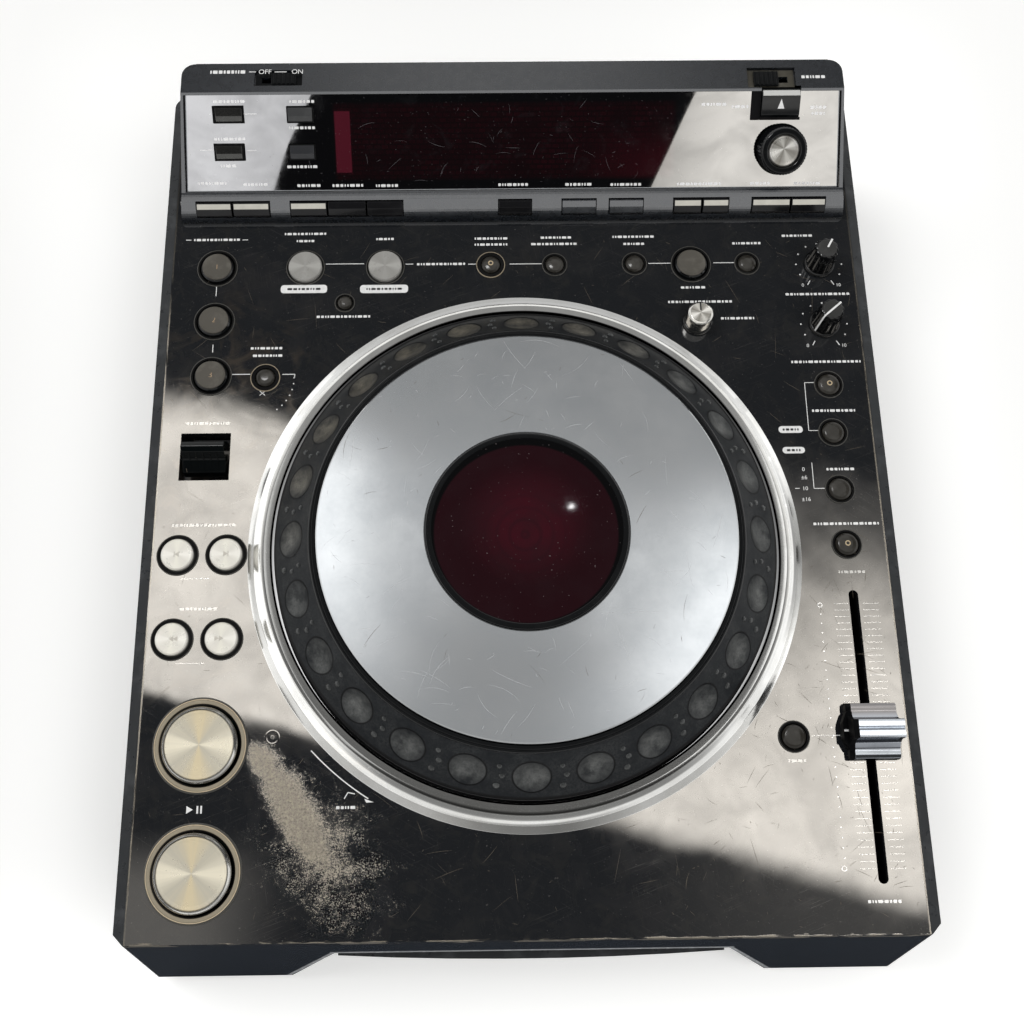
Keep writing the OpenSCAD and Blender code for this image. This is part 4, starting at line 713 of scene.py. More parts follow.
SHOWN_NODES = {
    "lower_case": "case", "front_fascia": "fascia", "deck_panel": "deck", "display_housing": "housing",
    "display_window": "window", "display_module": "board", "rear_panel": "rear", "jog_post": "inner",
    "circuit_boards": "board", "fader_unit": "black_matt", "drive_frame": "steel", "disc_turntable": "inner",
    "laser_sled": "steel", "loading_roller": "rubber", "feet": "rubber", "screws": "steel"}
for node_name, look_name in SHOWN_NODES.items():
    data = frame["nodes"][node_name].data
    data.materials.clear()
    data.materials.append(M[look_name])


# ---------------------------------------------------------------- camera
FOCAL_PX, IMAGE_PX, SENSOR = 1200.0, 1024.0, 36.0
CAMERA_TILT, CAMERA_YAW, CAMERA_ROLL = (math.radians(a) for a in (-17.464, -0.342, -0.755))
EYE = Vector((-18.04, -161.63, 560.53))
CENTRE_PX = Vector((512 - 23.5, 512 - 11.3))
AXES = (Matrix.Rotation(CAMERA_TILT, 3, "X") @ Matrix.Rotation(CAMERA_YAW, 3, "Y")
        @ Matrix.Rotation(CAMERA_ROLL, 3, "Z") @ Matrix.Diagonal((1, -1, -1)))


def add_camera():
    data = bpy.data.cameras.new("camera")
    data.sensor_width = SENSOR
    data.lens = FOCAL_PX * SENSOR / IMAGE_PX
    data.shift_x = (IMAGE_PX / 2 - CENTRE_PX.x) / IMAGE_PX
    data.shift_y = -(IMAGE_PX / 2 - CENTRE_PX.y) / IMAGE_PX
    camera = bpy.data.objects.new("camera", data)
    right, down, forward = AXES
    basis = Matrix((right, -down, -forward)).transposed()
    camera.matrix_world = Matrix.Translation(EYE * MM) @ basis.to_4x4()
    scene.collection.objects.link(camera)
    scene.camera = camera


def seen_at(u, v, height):
    """The point at a height that the camera sees at a pixel."""
    ray = AXES.transposed() @ Vector(((u - CENTRE_PX.x) / FOCAL_PX, (v - CENTRE_PX.y) / FOCAL_PX, 1))
    return EYE + ray * ((height - EYE.z) / ray.z)


# ---------------------------------------------------------------- jog wheel
JOG_STEPS, DIAL_STEPS, SLOPE_STEPS = 256, 1200, 60
# Domes in a dimple: share of the slope, angle beside the dimple's middle, radius
DOMES = ((0.28, -0.008, 1.5), (0.5, 0.010, 1.35), (0.7, -0.004, 1.2))


def dimpled(radius, height, angle):
    """Sinks a point of the dial's sloping face where a finger dimple lies."""
    along = GRIP_HIGH - GRIP_LOW
    share = (Vector((radius, height)) - GRIP_LOW).dot(along) / along.length_squared
    if not 0.02 < share < 0.98 or radius < GRIP_HIGH.x - 0.01 or height < GRIP_LOW.y:
        return radius, height
    pitch = 2 * math.pi / DIMPLES
    offset = (angle + pitch / 2) % pitch - pitch / 2
    away = math.hypot(offset * radius, (share - 0.5) * along.length)
    if away >= DIMPLE_R:
        return radius, height
    sunk = math.sqrt(DIMPLE_SPHERE ** 2 - away ** 2) - (DIMPLE_SPHERE - DIMPLE_DEPTH)
    normal = Vector((along.y, -along.x)).normalized()
    return radius - normal.x * sunk, height - normal.y * sunk


def add_jog():
    crest = BEZEL_IN + 3.2
    ring = [(BEZEL_IN, -5.9, 0.2), (BEZEL_IN + 1.9, -5.9, 0.2), (BEZEL_IN + 1.9, 0), (BEZEL_R, 0),
            (BEZEL_R, 0.8, 0.5), (BEZEL_R - 3, 3.2, 3), (BEZEL_R - 5.6, 6.4, 2.5),
            (crest + 1.6, BEZEL_TOP - 0.6, 1.2), (crest, BEZEL_TOP, 0.8), (BEZEL_IN + 0.8, BEZEL_TOP, 0.6),
            (BEZEL_IN, BEZEL_TOP - 0.8, 0.2)]
    add_piece("jog_bezel_ring", [turned(ring, on_jog(), JOG_STEPS)], "bezel", "case",
              ["jog_bezel"])

    slope = [tuple(GRIP_LOW.lerp(GRIP_HIGH, i / SLOPE_STEPS)) for i in range(SLOPE_STEPS + 1)]
    lip_out, lip_in = GRIP_HIGH.x, PLATE_R + 0.4
    dial = [(DIAL_R - 2.6, 5.6), (DIAL_R - 0.1, 5.6, 0.4), *slope, (lip_out - 1, GRIP_HIGH.y + 0.3)]
    add_piece("jog_dial_shell", [turned(dial, on_jog(), DIAL_STEPS, False, dimpled)], "dial", "jog_dial",
              ["jog_dial"], sharp=11)
    lip = [(lip_out, 25.6), (lip_out, 27.3, 0.4), (lip_out - 0.8, 27.8, 0.3), (lip_out - 1.2, 27.35, 0.15),
           (lip_out - 1.6, 27.8, 0.3), (lip_in + 0.3, 27.8, 0.2), (lip_in, 27.4), (lip_in, 24),
           (lip_out - 1, 24)]
    add_piece("jog_dial_lip", [turned(lip, on_jog(), JOG_STEPS)], "black", "jog_dial")
    bumps = []
    slope_angle = math.atan2(GRIP_HIGH.y - GRIP_LOW.y, GRIP_LOW.x - GRIP_HIGH.x)
    for i in range(DIMPLES):
        for share, sway, r in DOMES:
            at = GRIP_LOW.lerp(GRIP_HIGH, share)
            spoke = on_jog((i + 0.5) * 2 * math.pi / DIMPLES + sway)
            place = spoke @ move(at.x, 0, at.y) @ turn(slope_angle, "Y")
            dome = [(0, 0.75), (r * 0.55, 0.6, 0.6), (r * 0.9, 0.25, 0.4), (r, -0.3)]
            bumps.append(turned(dome, place, 20, False))
    add_piece("jog_dial_bumps", bumps, "stud", "jog_dial")

    plate = [(LENS_R + 0.1, PLATE_TOP - 2), (PLATE_R, PLATE_TOP - 2), (PLATE_R, PLATE_TOP - 0.4),
             (PLATE_R - 0.5, PLATE_TOP), (LENS_R + 0.6, PLATE_TOP, 0.1), (LENS_R + 0.1, PLATE_TOP - 0.4)]
    add_piece("jog_plate_disc", [turned(plate, on_jog(), JOG_STEPS)], "plate", "jog_plate",
              ["jog_plate"])
    rim, low = LENS_R - 2.6, PLATE_TOP + 0.6
    dome = [(r, LENS_TOP - LENS_BALL + math.sqrt(LENS_BALL ** 2 - r ** 2))
            for r in (0, 6, 12, 18, 24, 30, rim)]
    add_piece("jog_lens_dome", [turned([*dome, (rim, low - 1)], on_jog(), 192, False)], "lens",
              "jog_plate", ["jog_lens"])
    edge = [(rim, low - 1), (rim, low + 0.15, 0.1), (rim + 0.5, low + 0.35, 0.2),
            (LENS_R - 0.1, low - 0.1, 0.5), (LENS_R - 0.1, low - 2)]
    add_piece("jog_lens_rim", [turned(edge, on_jog(), 192)], "black", "jog_plate")


# ---------------------------------------------------------------- round buttons
WIDE_COLLARS = {"loop_jump_button": 2.1, "beat_down_button": 2.1, "loop_in_button": 0.9,
                "loop_out_button": 0.9, "reloop_button": 1.0, "track_back_button": 1.8,
                "track_next_button": 1.8, "search_back_button": 1.8, "search_next_button": 1.8}
TAN_COLLARS = ("beat_down_button", "loop_jump_button")
COLLAR, COLLAR_EDGE, KEY_GAP = 1.3, 0.4, 0.3
SUNK, COLLAR_FOOT = -8.0, -2.3  # caps and collars reach this far into the deck
FLAT_DARK = ("hot_cue_a_button", "hot_cue_b_button", "hot_cue_c_button", "memory_button")
FROSTED = ("loop_in_button", "loop_out_button")
WHITE = ("track_back_button", "track_next_button", "search_back_button", "search_next_button")
DOMED = ("loop_jump_button", "reloop_button", "beat_down_button", "beat_up_button", "call_back_button",
         "call_next_button", "jog_mode_button", "vinyl_mode_button", "tempo_range_button",
         "key_lock_button", "tempo_reset_button")


def add_cap(node, profile, look, suffix="_cap"):
    add_piece(node + suffix, [turned(profile, button(node)[2], 72, False)], look, node, [node])


def hoop(inner, outer, foot, outer_top, inner_top, rounding, place, steps=96):
    corners = [(inner, foot), (outer, foot), (outer, outer_top, rounding), (inner, inner_top, rounding)]
    return turned(corners, place, steps)


def add_buttons():
    rings, edges, tan = [], [], []
    for node in FLAT_DARK + FROSTED + WHITE + DOMED:
        r, top, place = button(node)
        if node in FLAT_DARK:
            add_cap(node, [(0, top - 0.3), (r - 2.0, top - 0.2, 0.6), (r - 1.3, top, 0.3),
                           (r - 1.0, top - 0.25, 0.2), (r - 0.95, top - 1.4), (0, top - 1.4)],
                    "dark_cap")
            skirt = [(r - 0.9, top - 1.5), (r - 0.9, top - 0.35), (r - 0.35, top - 1.0, 0.5),
                     (r, top - 2.6, 0.4), (r, SUNK), (r - 0.9, SUNK)]
            add_piece(node + "_skirt", [turned(skirt, place, 72)], "black", node)
        elif node in FROSTED:
            add_cap(node, [(0, top - 0.1), (r - 1.2, top - 0.1, 0.6), (r - 0.5, top, 0.3),
                           (r, top - 0.7, 0.4), (r, SUNK)], "frost")
        elif node in WHITE:
            add_cap(node, [(0, top - 0.15), (r - 1.1, top - 0.1, 0.4), (r - 0.6, top, 0.3),
                           (r, top - 0.6, 0.4), (r, SUNK)], "white_cap")
        else:
            add_cap(node, [(0, top), (r * 0.45, top - 0.12, 1), (r * 0.8, top - 0.55, 1.5),
                           (r, top - 1.5, 0.8), (r, SUNK)], "small_cap")
        inner = r + KEY_GAP
        outer = inner + WIDE_COLLARS.get(node, COLLAR)
        seam = outer - COLLAR_EDGE
        rings.append(turned([(inner, COLLAR_FOOT), (seam, COLLAR_FOOT), (seam, 0.45, 0.1),
                             (inner + 0.1, 0.3, 0.1)], place, 72))
        (tan if node in TAN_COLLARS else edges).append(hoop(seam, outer, -0.2, 0.35, 0.47, 0.12, place, 72))
    add_piece("button_collar_rings", rings, "collar", "case", ["button_collars"])
    add_piece("button_collar_edges", edges, "collar_edge", "case")
    add_piece("button_collar_tan", tan, "collar_tan", "case")


def add_play_and_cue():
    pair, wells, lines, seams = [], [], [], []
    for node in ("cue_button", "play_button"):
        r, top, place = button(node)
        add_cap(node, [(0, top - 0.5), (r - 3.2, top - 0.35, 2), (r - 1.5, top - 0.1, 0.5),
                       (r - 1.5, top - 2), (0, top - 2)], "spun", "_face")
        rim = [(r - 1.45, top - 2), (r - 1.45, top - 0.08, 0.1), (r - 1.15, top, 0.12),
               (r - 0.5, top - 0.75, 0.4), (r - 0.1, top - 1.3, 0.3), (r, top - 2.4, 0.3), (r, SUNK),
               (r - 1.45, SUNK)]
        add_piece(node + "_rim", [turned(rim, place)], "cap_rim", node)
        outer = node_box("light_rings")[1].x - middle(node).x
        well = r + KEY_GAP + 0.9
        wells.append(hoop(r + KEY_GAP, well, COLLAR_FOOT, 0.3, -0.6, 0.2, place))
        pair.append(hoop(well, outer - 1.15, COLLAR_FOOT, 0.85, 0.8, 0.2, place))
        lines.append(hoop(outer - 1.12, outer - 0.8, -1, 0.85, 0.95, 0.1, place))
        seams.append(hoop(outer - 0.78, outer - 0.05, -0.2, 0.4, 0.8, 0.2, place))
    add_piece("light_ring_pair", pair, "light_ring", "case", ["light_rings"])
    add_piece("light_ring_wells", wells, "collar", "case")
    add_piece("light_ring_lines", lines, "ring_line", "case")
    add_piece("light_ring_seams", seams, "collar_edge", "case")


# ---------------------------------------------------------------- knobs, lever and fader
POINTER_ANGLES = {"brake_knob": math.radians(-30), "start_knob": math.radians(-50)}
SELECTOR_S, SELECTOR_RISE, SELECTOR_RIBS, RIB_DEPTH = 17.1, 8.0, 48, 0.22


def fluted(low_r, high_r, low, high, place, flutes, depth):
    """Knob body with flutes round it and a rounded top edge."""
    corners = [(0, high), (high_r - 1.1, high), (high_r - 0.35, high - 0.35), (high_r, high - 1.2),
               (low_r * 0.4 + high_r * 0.6, (low + high) / 2), (low_r, low), (0, low)]

    def flute(r, h, a):
        share = min(1.0, max(0.0, (r - high_r + 2) / 2))
        return r - depth * share * (0.5 + 0.5 * math.cos(flutes * a)) ** 2, h
    return turned(corners, place, 96, False, flute)


def add_pointer_knobs():
    for node, angle in POINTER_ANGLES.items():
        r, top, place = standing(node)
        place = place @ turn(angle, "Z")
        skirt = turned([(0, 0.8), (r - 0.3, 0.8, 0.2), (r - 0.3, 1.5, 0.4), (r - 0.9, 1.9, 0.3), (0, 2.0)],
                       place, 72)
        add_piece(node + "_body", [skirt, fluted(r - 0.9, r - 1.9, 1.8, top - 0.3, place, 10, 0.5)], "knob",
                  node, [node])
        crown = turned([(0, top - 0.2), (r - 3.2, top - 0.2, 0.3), (r - 2.8, top - 0.6)], place, 72, False)
        add_piece(node + "_crown", [crown], "knob_top", node)
        behind = node == "start_knob"
        mark = [block(-0.42, 0.42, 3.2 - r if behind else 0.3, r - 2.2, top - 0.45, top - 0.05, place, 0.2)]
        if behind:
            over_edge = [(3.4 - r, top - 0.1), (2.3 - r, top - 0.45), (1.55 - r, top - 1.5), (0.6 - r, 2.0),
                         (1.6 - r, 2.0), (3.4 - r, top - 1.0)]
            mark.append(extruded(over_edge, -0.35, 0.35, place @ ALONG_X))
        add_piece(node + "_pointer", mark, "ink", node)


def add_touch_knob():
    node = "touch_knob"
    r, top, place = standing(node)
    collar = [(r - 1.5, 0.5), (r, 0.5, 0.2), (r, 1.3, 0.3), (r - 0.5, 1.7, 0.2), (r - 1.5, 1.7)]
    add_piece("touch_knob_collar", [turned(collar, place, 72)], "black", node)
    body = [(r - 2.1, top - 2), (r - 2.1, top - 0.15, 0.1), (r - 1.0, top - 0.9, 0.5),
            (r - 0.8, top - 3, 0.4), (r - 0.7, 1.6), (r - 0.7, 0.9, 0.2), (r - 1, 0.7), (r - 2.1, 0.7)]
    add_piece("touch_knob_body", [turned(body, place)], "chrome", node, [node])
    face = [(0, top - 0.1), (r - 2.3, top - 0.1, 0.1), (r - 2.1, top - 0.2), (r - 2.1, top - 1.5)]
    add_piece("touch_knob_face", [turned(face, place, 72, False)], "chrome_face", node)
    add_piece("touch_knob_mark", [block(-0.35, 0.35, 1.0, r - 1.6, top - 0.4, top, place)],
              "ink_dark", node)


def add_selector():
    node, rise = "selector_knob", SELECTOR_RISE
    r, place = standing(node)[0], on_window(middle(node).x, SELECTOR_S)
    ring = [(r - 3.9, -0.3), (r, -0.3), (r, 0.4, 0.2), (r - 0.3, rise - 1.4, 0.5), (r - 1.3, rise, 0.7),
            (r - 3.3, rise, 0.5), (r - 3.9, rise - 1.2, 0.3)]

    def ribbed(q, h, a):
        outside = q > r - 0.9 and 0.6 < h < rise - 1
        return q - (RIB_DEPTH if outside else 0) * (0.5 + 0.5 * math.cos(SELECTOR_RIBS * a)), h
    add_piece("selector_ring", [turned(ring, place, 192, True, ribbed)], "black", node, [node])
    face = [(0, rise - 0.9), (r - 5.6, rise - 0.8, 1), (r - 4.6, rise - 0.5, 0.4),
            (r - 3.95, rise - 1.4, 0.3), (r - 3.95, rise - 3)]
    add_piece("selector_face", [turned(face, place, closed=False)], "chrome_face", node)


def add_lever():
    node, half = "direction_lever", 9.3
    place = move(*(Vector(joint("child", node)["pos_m"]) / MM)) @ ALONG_X
    blade = [(-7.5, 1.5, 0.5), (-3, -2.6, 1), (3, -2.6, 1), (7.5, 1.5, 0.5), (7.2, 6.5, 0.8),
             (4.8, 12.9, 0.6), (2.6, 13.9, 0.8), (0.4, 12.6, 0.8), (-1.8, 8.2, 2.5), (-7.0, 6.4, 0.6)]
    add_piece("direction_lever_blade", [extruded(blade, -half, half, place, 5)], "lever", node,
              [node], bevel=0.35)
    rib = [(-6.2, 6.9), (-2.3, 8.3), (0.2, 12.4), (0.45, 12.1), (-1.9, 7.9), (-6.0, 6.3)]
    add_piece("direction_lever_ribs", [extruded(rib, x - 0.25, x + 0.25, place) for x in (-6, -3, 0, 3, 6)],
              "lever", node)


def add_fader():
    """Cap with a tall grooved ridge between two scoops, and a black end on its left."""
    node = "fader_knob"
    half, top, upright = standing(node)
    place = upright @ ALONG_X
    back = [(3.4, top, 0.2), (3.7, top - 0.5, 0.25), (3.9, 8.2, 0.5), (5.0, 5.9, 2.0), (7.4, 4.3, 2.0),
            (9.4, 4.6, 1.0), (half - 0.5, 3.9, 0.6), (half - 0.1, 1.0, 0.2)]
    front = [(-y, z, r) for y, z, r in reversed(back)]
    groove = [(-0.75, top, 0.1), (0, top - 0.85), (0.75, top, 0.1)]
    metal_left = 4.2 - half
    add_piece("fader_knob_body", [extruded(front + groove + back, metal_left, half - 0.5, place, 6)], "fader",
              node, [node], bevel=0.15)
    cheek = [(y, z - 0.15, r) for y, z, r in front + back]
    bulge = [(metal_left, half - 3.0, 1.5), (1.9 - half, half - 4.0, 1.5), (0.1 - half, 3.4, 2.5)]
    bulge += [(x, -y, r) for x, y, r in reversed(bulge)]
    black_end = [extruded(cheek, 2.1 - half, metal_left - 0.02, place, 6), extruded(bulge, 1.2, 5.4, upright)]
    add_piece("fader_knob_cheek", black_end, "black_matt", node, bevel=0.3)
    add_piece("fader_knob_stem", [block(-1.4, 1.4, -3.9, 3.9, -9, 1.2, upright)], "black", node)
    add_piece("fader_knob_line", [block(0.4 - half, 3.4 - half, -0.4, 0.4, 5.1, 5.45, upright)], "ink", node)


# ---------------------------------------------------------------- display housing
# Half width, width of the frame round it, and x, place on the slope and look of each key
WINDOW_KEYS = {
    "window_keys_left": (6.0, 0.8, ((-126.7, 33.9, "key_steel"), (-127.8, 17.7, "key_steel"))),
    "window_keys_right": (5.5, 0.5, ((-95.0, 33.7, "key_smoke"), (-95.0, 17.5, "key_mirror")))}
# Look, left and right of each key; a key with a metal look is black with a metal upper facet
LEDGE_KEYS = {
    "ledge_keys_a": (("key_metal", -144.8, -128.1), ("key_metal", -128.1, -110.9)),
    "ledge_keys_b": (("key_metal", -102.0, -84.8), ("key", -84.8, -67.0), ("key", -67.0, -50.1)),
    "ledge_keys_c": (("key", -6.9, 8.7), ("housing", 22.1, 38.2), ("housing", 43.7, 59.8)),
    "ledge_keys_d": (("key_metal", 73.2, 86.5), ("key_metal", 86.5, 99.0), ("key_metal", 109.1, 127.1),
                     ("key_metal", 127.1, 143.3))}
UPPER_FACET = ((2.75, 0.64), (0.4, 1.02), (0.4, 0.7), (2.75, 0.3))
EJECT_S, EJECT_HALF, EJECT_LENGTH = 36.4, 8.5, 5.2
# Bed of a slide switch: its middle beside the slider's, half its sides, and its look
SLIDER_BEDS = {"lock": (2.2, 10.6, 5.0, "bed_dusty"), "power": (-2.2, 10.5, 3.9, "black")}
# Cut-out of the front panel: half widths at its top and foot, and their places on the lean
CUT_TOP, CUT_FOOT, CUT_TOP_S, CUT_FOOT_S, CUT_EDGE = 78.5, 101.5, -18.6, -61.5, 1.6


def add_window_keys():
    l, gap, frames = 3.0, 0.05, []
    profile = [(-l, -5), (l, -5), (l, 0.15, 0.3), (l - 0.5, 0.6, 0.3), (-0.6, 0.9, 0.6),
               (-l + 0.6, 0.35, 0.4), (-l, 0.1, 0.2)]
    for node, (w, rim, keys) in WINDOW_KEYS.items():
        for k, (x, s, look) in enumerate(keys):
            place = on_window(x, s)
            cap = extruded(profile, 0.1 - w, w - 0.1, place @ ALONG_X)
            add_piece(node + ("_caps_low" if k else "_caps"), [cap], look, node,
                      [] if k else [node], bevel=0.2)
            out_x, out_y = w + rim, l + rim
            for sides in ((-out_x, out_x, l + gap, out_y), (-out_x, out_x, -out_y, -l - gap),
                          (-out_x, -w - gap, -l, l), (w + gap, out_x, -l, l)):
                frames.append(block(*sides, -0.6, 0.12, place))
    add_piece("window_key_frames", frames, "key_frame", "case")


def add_ledge_keys():
    profile = [(-3.4, -3.0), (3.4, -3.0), (3.3, 0.2, 0.3), (2.8, 0.6, 0.4), (0.3, 1.0, 0.5),
               (-2.7, 0.35, 0.5), (-3.3, -0.2, 0.4)]
    place = on_ledge() @ ALONG_X
    for node, keys in LEDGE_KEYS.items():
        groups, shine = {}, []
        for look, left, right in keys:
            body = "key" if look == "key_metal" else look
            groups.setdefault(body, []).append(extruded(profile, left + 0.4, right - 0.4, place))
            if look == "key_metal":
                shine.append(extruded(UPPER_FACET, left + 0.75, right - 0.75, place))
        for k, (look, shapes) in enumerate(groups.items()):
            add_piece(node + ("_" + look if k else "") + "_caps", shapes, look, node,
                      [] if k else [node], bevel=0.2)
        if shine:
            add_piece(node + "_shine", shine, "key_metal", node)


def add_eject():
    node, w, l = "eject_button", EJECT_HALF, EJECT_LENGTH
    x = middle(node).x
    place = on_window(x, EJECT_S)
    body = [(-l, -5), (l + 0.6, -5), (l + 1.2, 0.3, 0.5), (l - 1.6, 1.9, 0.6), (-l + 1, 1.7, 0.8),
            (-l, 0.8, 0.4)]
    add_piece("eject_cap", [extruded(body, -w, w, place @ ALONG_X)], "black", node, [node],
              bevel=0.3)
    slab = [(l - 1.3, 1.8), (l + 0.9, 0.6), (l + 0.9, 0.85), (l - 1.2, 2.05)]
    add_piece("eject_edge", [extruded(slab, 0.3 - w, w - 0.3, place @ ALONG_X)], "silver", node)
    # Painted shadow: near-black strips left of and below the key, where its recess lies in shade
    gap = Print("eject_gap", on_window(x, EJECT_S, -0.25), "key_frame", "window_smoke")
    gap.box(-w - 4.6, -l - 1.4, -w - 0.2, l + 0.8, 0.4)
    gap.box(-w - 0.2, -l - 1.4, w + 0.8, -l - 0.2)
    gap.finish()
    arrow = extruded([(-1.5, -1.6), (1.5, -1.6), (0, 2.6)], 1.6, 2.0, place)
    add_piece("eject_arrow", [arrow], "ink", node)


def add_sliders():
    for name, (shift, half_x, half_y, look) in SLIDER_BEDS.items():
        at = middle(name + "_slider")
        sides = ((-half_x, half_x, 1.6, half_y), (-half_x, half_x, 1.2 - half_y, -1.6),
                 (-half_x, -half_x + 2.9, -1.6, 1.6), (half_x - 2.9, half_x, -1.6, 1.6))
        place = on_strip(at.x + shift, at.y)
        add_piece(name + "_bed", [block(*side, -1.9, -1.8, place) for side in sides], look, "case")
    for node in ("lock_slider", "power_slider"):
        low, high = node_box(node)
        at = middle(node)
        w, l = (high.x - low.x) / 2, (high.y - low.y) / 2
        place = on_strip(at.x, at.y)
        shapes = [block(-w, w, -l, l, -1.6, -0.5, place, 0.4)]
        shapes += [block(x - 0.5, x + 0.5, 0.4 - l, l - 0.4, -0.6, -0.05, place, 0.2)
                   for x in (-4, -2, 0, 2, 4)]
        add_piece(node + "_thumb", shapes, "black", node, [node], bevel=0.15)


def add_front_band():
    """Painted edge highlight: a pale chamfer along the cut-out's edges in the front panel."""
    side = CUT_EDGE / math.cos(math.atan2(CUT_FOOT - CUT_TOP, CUT_TOP_S - CUT_FOOT_S))
    outlines = [[(-CUT_TOP - side, CUT_TOP_S + CUT_EDGE), (CUT_TOP + side, CUT_TOP_S + CUT_EDGE),
                 (CUT_TOP, CUT_TOP_S), (-CUT_TOP, CUT_TOP_S)]]
    for sign in (-1, 1):
        outlines.append([(sign * CUT_TOP, CUT_TOP_S), (sign * (CUT_TOP + side), CUT_TOP_S),
                         (sign * (CUT_FOOT + side), CUT_FOOT_S), (sign * CUT_FOOT, CUT_FOOT_S)])
    add_piece("front_cut_edge", [extruded(outline, -0.3, 0.12, on_fascia()) for outline in outlines],
              "edge_light", "case", bevel=0.08)


# ---------------------------------------------------------------- print
LABEL_BARS, LABEL_GAP = (1.7, 0.7, 1.3, 0.9, 2.1, 0.6, 1.5), 0.55
WINDOW_FACE = -0.3  # height of the pane over the slope it is let into


def polar(x, y, r, a):
    return x + r * math.cos(a), y + r * math.sin(a)


class Print:
    """Flat marks of one ink on one face, joined in one thin mesh."""

    def __init__(self, name, place, look, slot, body="case", thickness=0.02):
        self.name, self.place, self.look, self.slot, self.body = name, place, look, slot, body
        self.low, self.high = -0.03, thickness
        self.shapes = []

    def area(self, corners):
        self.shapes.append(extruded(corners, self.low, self.high, self.place, 3))

    def box(self, x0, y0, x1, y1, corner=0.0):
        self.area(rectangle(x0, y0, x1, y1, corner))

    def line(self, *points, width=0.35):
        for a, b in zip(points, points[1:]):
            a, b = Vector(a), Vector(b)
            side = (b - a).normalized().orthogonal() * width / 2
            self.area([tuple(a + side), tuple(b + side), tuple(b - side), tuple(a - side)])

    def bar(self, x, y, length, height=1.15):
        """A label's place: a row of short plain bars centred on a point."""
        lengths, at = [], 0.0
        while at < length:
            lengths.append(LABEL_BARS[(len(lengths) * 3 + round(length + y)) % len(LABEL_BARS)])
            at += lengths[-1] + LABEL_GAP
        stretch = (length + LABEL_GAP) / at
        left = x - length / 2
        for bar in lengths:
            self.box(left, y - height / 2, left + bar * stretch, y + height / 2, 0.25)
            left += (bar + LABEL_GAP) * stretch

    def dot(self, x, y, r):
        self.area([polar(x, y, r, k * math.pi / 6) for k in range(12)])

    def arc(self, x, y, r, first, last, width, steps=28):
        angles = [first + (last - first) * k / steps for k in range(steps + 1)]
        for a, b in zip(angles, angles[1:]):
            self.area([polar(x, y, r + width / 2, a), polar(x, y, r + width / 2, b),
                       polar(x, y, r - width / 2, b), polar(x, y, r - width / 2, a)])

    def circle(self, x, y, r, width=0.3):
        self.arc(x, y, r, 0, 2 * math.pi, width)

    def sign(self, text, x, y, size):
        """Numbers, plus and minus, and the ON and OFF of a switch."""
        curve = bpy.data.curves.new(self.name, "FONT")
        curve.body, curve.size, curve.align_x, curve.align_y = text, size, "CENTER", "CENTER"
        holder = bpy.data.objects.new(self.name, curve)
        scene.collection.objects.link(holder)
        bpy.context.view_layer.update()
        flat = bpy.data.meshes.new_from_object(holder)
        points = [self.place @ Vector((p.co.x + x, p.co.y + y, self.high)) for p in flat.vertices]
        self.shapes.append((points, [tuple(f.vertices) for f in flat.polygons]))
        bpy.data.objects.remove(holder)
        bpy.data.meshes.remove(flat)

    def finish(self):
        add_piece(self.name, self.shapes, self.look, self.body)


# Places of labels: x, y and length
DECK_LABELS = (
    (-136.1, 119.6, 21), (-95.6, 122.3, 19), (-95.5, 118.6, 8), (-59, 119.3, 8), (-33.3, 106.2, 22),
    (-77.2, 80.2, 24), (-10.3, 119.1, 15), (-10.3, 116.0, 15), (19.6, 119.3, 14), (18.6, 116.0, 21),
    (-111.1, 65.0, 14), (-110.5, 61.4, 13), (55.2, 119.4, 19), (55.3, 115.7, 9.5), (107.2, 115.5, 13),
    (81.2, 93.2, 11), (83.9, 86.0, 29), (100.3, 77.6, 15), (130.8, 119.2, 14), (137.5, 89.3, 29),
    (138.1, 55.9, 31), (139.2, 32.5, 19), (139.4, 5.3, 12), (139.4, -19.3, 28), (138.7, -172.3, 13),
    (-71.4, -134.2, 7.5))
GREY_LABELS = ((139.6, -40.5, 11), (109.5, -118.3, 7), (-134.3, -16.9, 27), (-134.5, -53.2, 15.5),
               (-135.1, 29.4, 19))
# White boxes with dark labels: low and high x, low and high y, length of the label
BOXED_LABELS = ((-105.9, -84.9, 92.1, 96.2, 15), (-70.0, -48.2, 91.8, 95.9, 16),
                (114.2, 124.8, 22.2, 25.4, 7), (115.1, 124.9, 12.7, 15.7, 6))
# Lines beside the labels: low and high x, and y
DECK_RULES = ((-150.3, -147.8, 119.6), (-124.4, -121.9, 119.5), (-85.8, -68.4, 106.7), (-49.4, -45.9, 106.3),
              (-20.9, -17.3, 106.0), (-1.9, 12.7, 105.9), (61.5, 72.2, 105.6), (91.3, 101.0, 105.6),
              (-125.8, -117.7, 52.5))
DECK_LINES = (((-135, 96.2), (-135, 90.9)), ((-135, 67.0), (-135, 63.2)),
              ((-103.6, 52.3), (-98.0, 52.3), (-98.2, 50.6)))
THIN_LINES = (((-113.2, 44.4), (-110.8, 42.4)), ((-113.2, 42.4), (-110.8, 44.4)),
              ((131.8, 45.9), (127.6, 45.9), (127.4, 23.2), (132.4, 23.2)),
              ((127.3, 8.4), (127.2, -3.4), (132.8, -3.4)), ((119.0, -3.3), (121.0, -3.3)))
RANGE_SIGNS, RANGE_X, SIGN_SIZE = (("0", 5.3), ("±6", 1.6), ("10", -3.4), ("±16", -8.3)), 123.4, 2.5
DIRECTION_DOTS, DIRECTION_R = (-116.5, 50.0), 18.2
SWEEP_R, SWEEP_FIRST, SWEEP_LAST = 121.0, math.radians(223.5), math.radians(237.8)
PLAY_SIGN, TICK_R = (-131.0, -134.3), 10.4
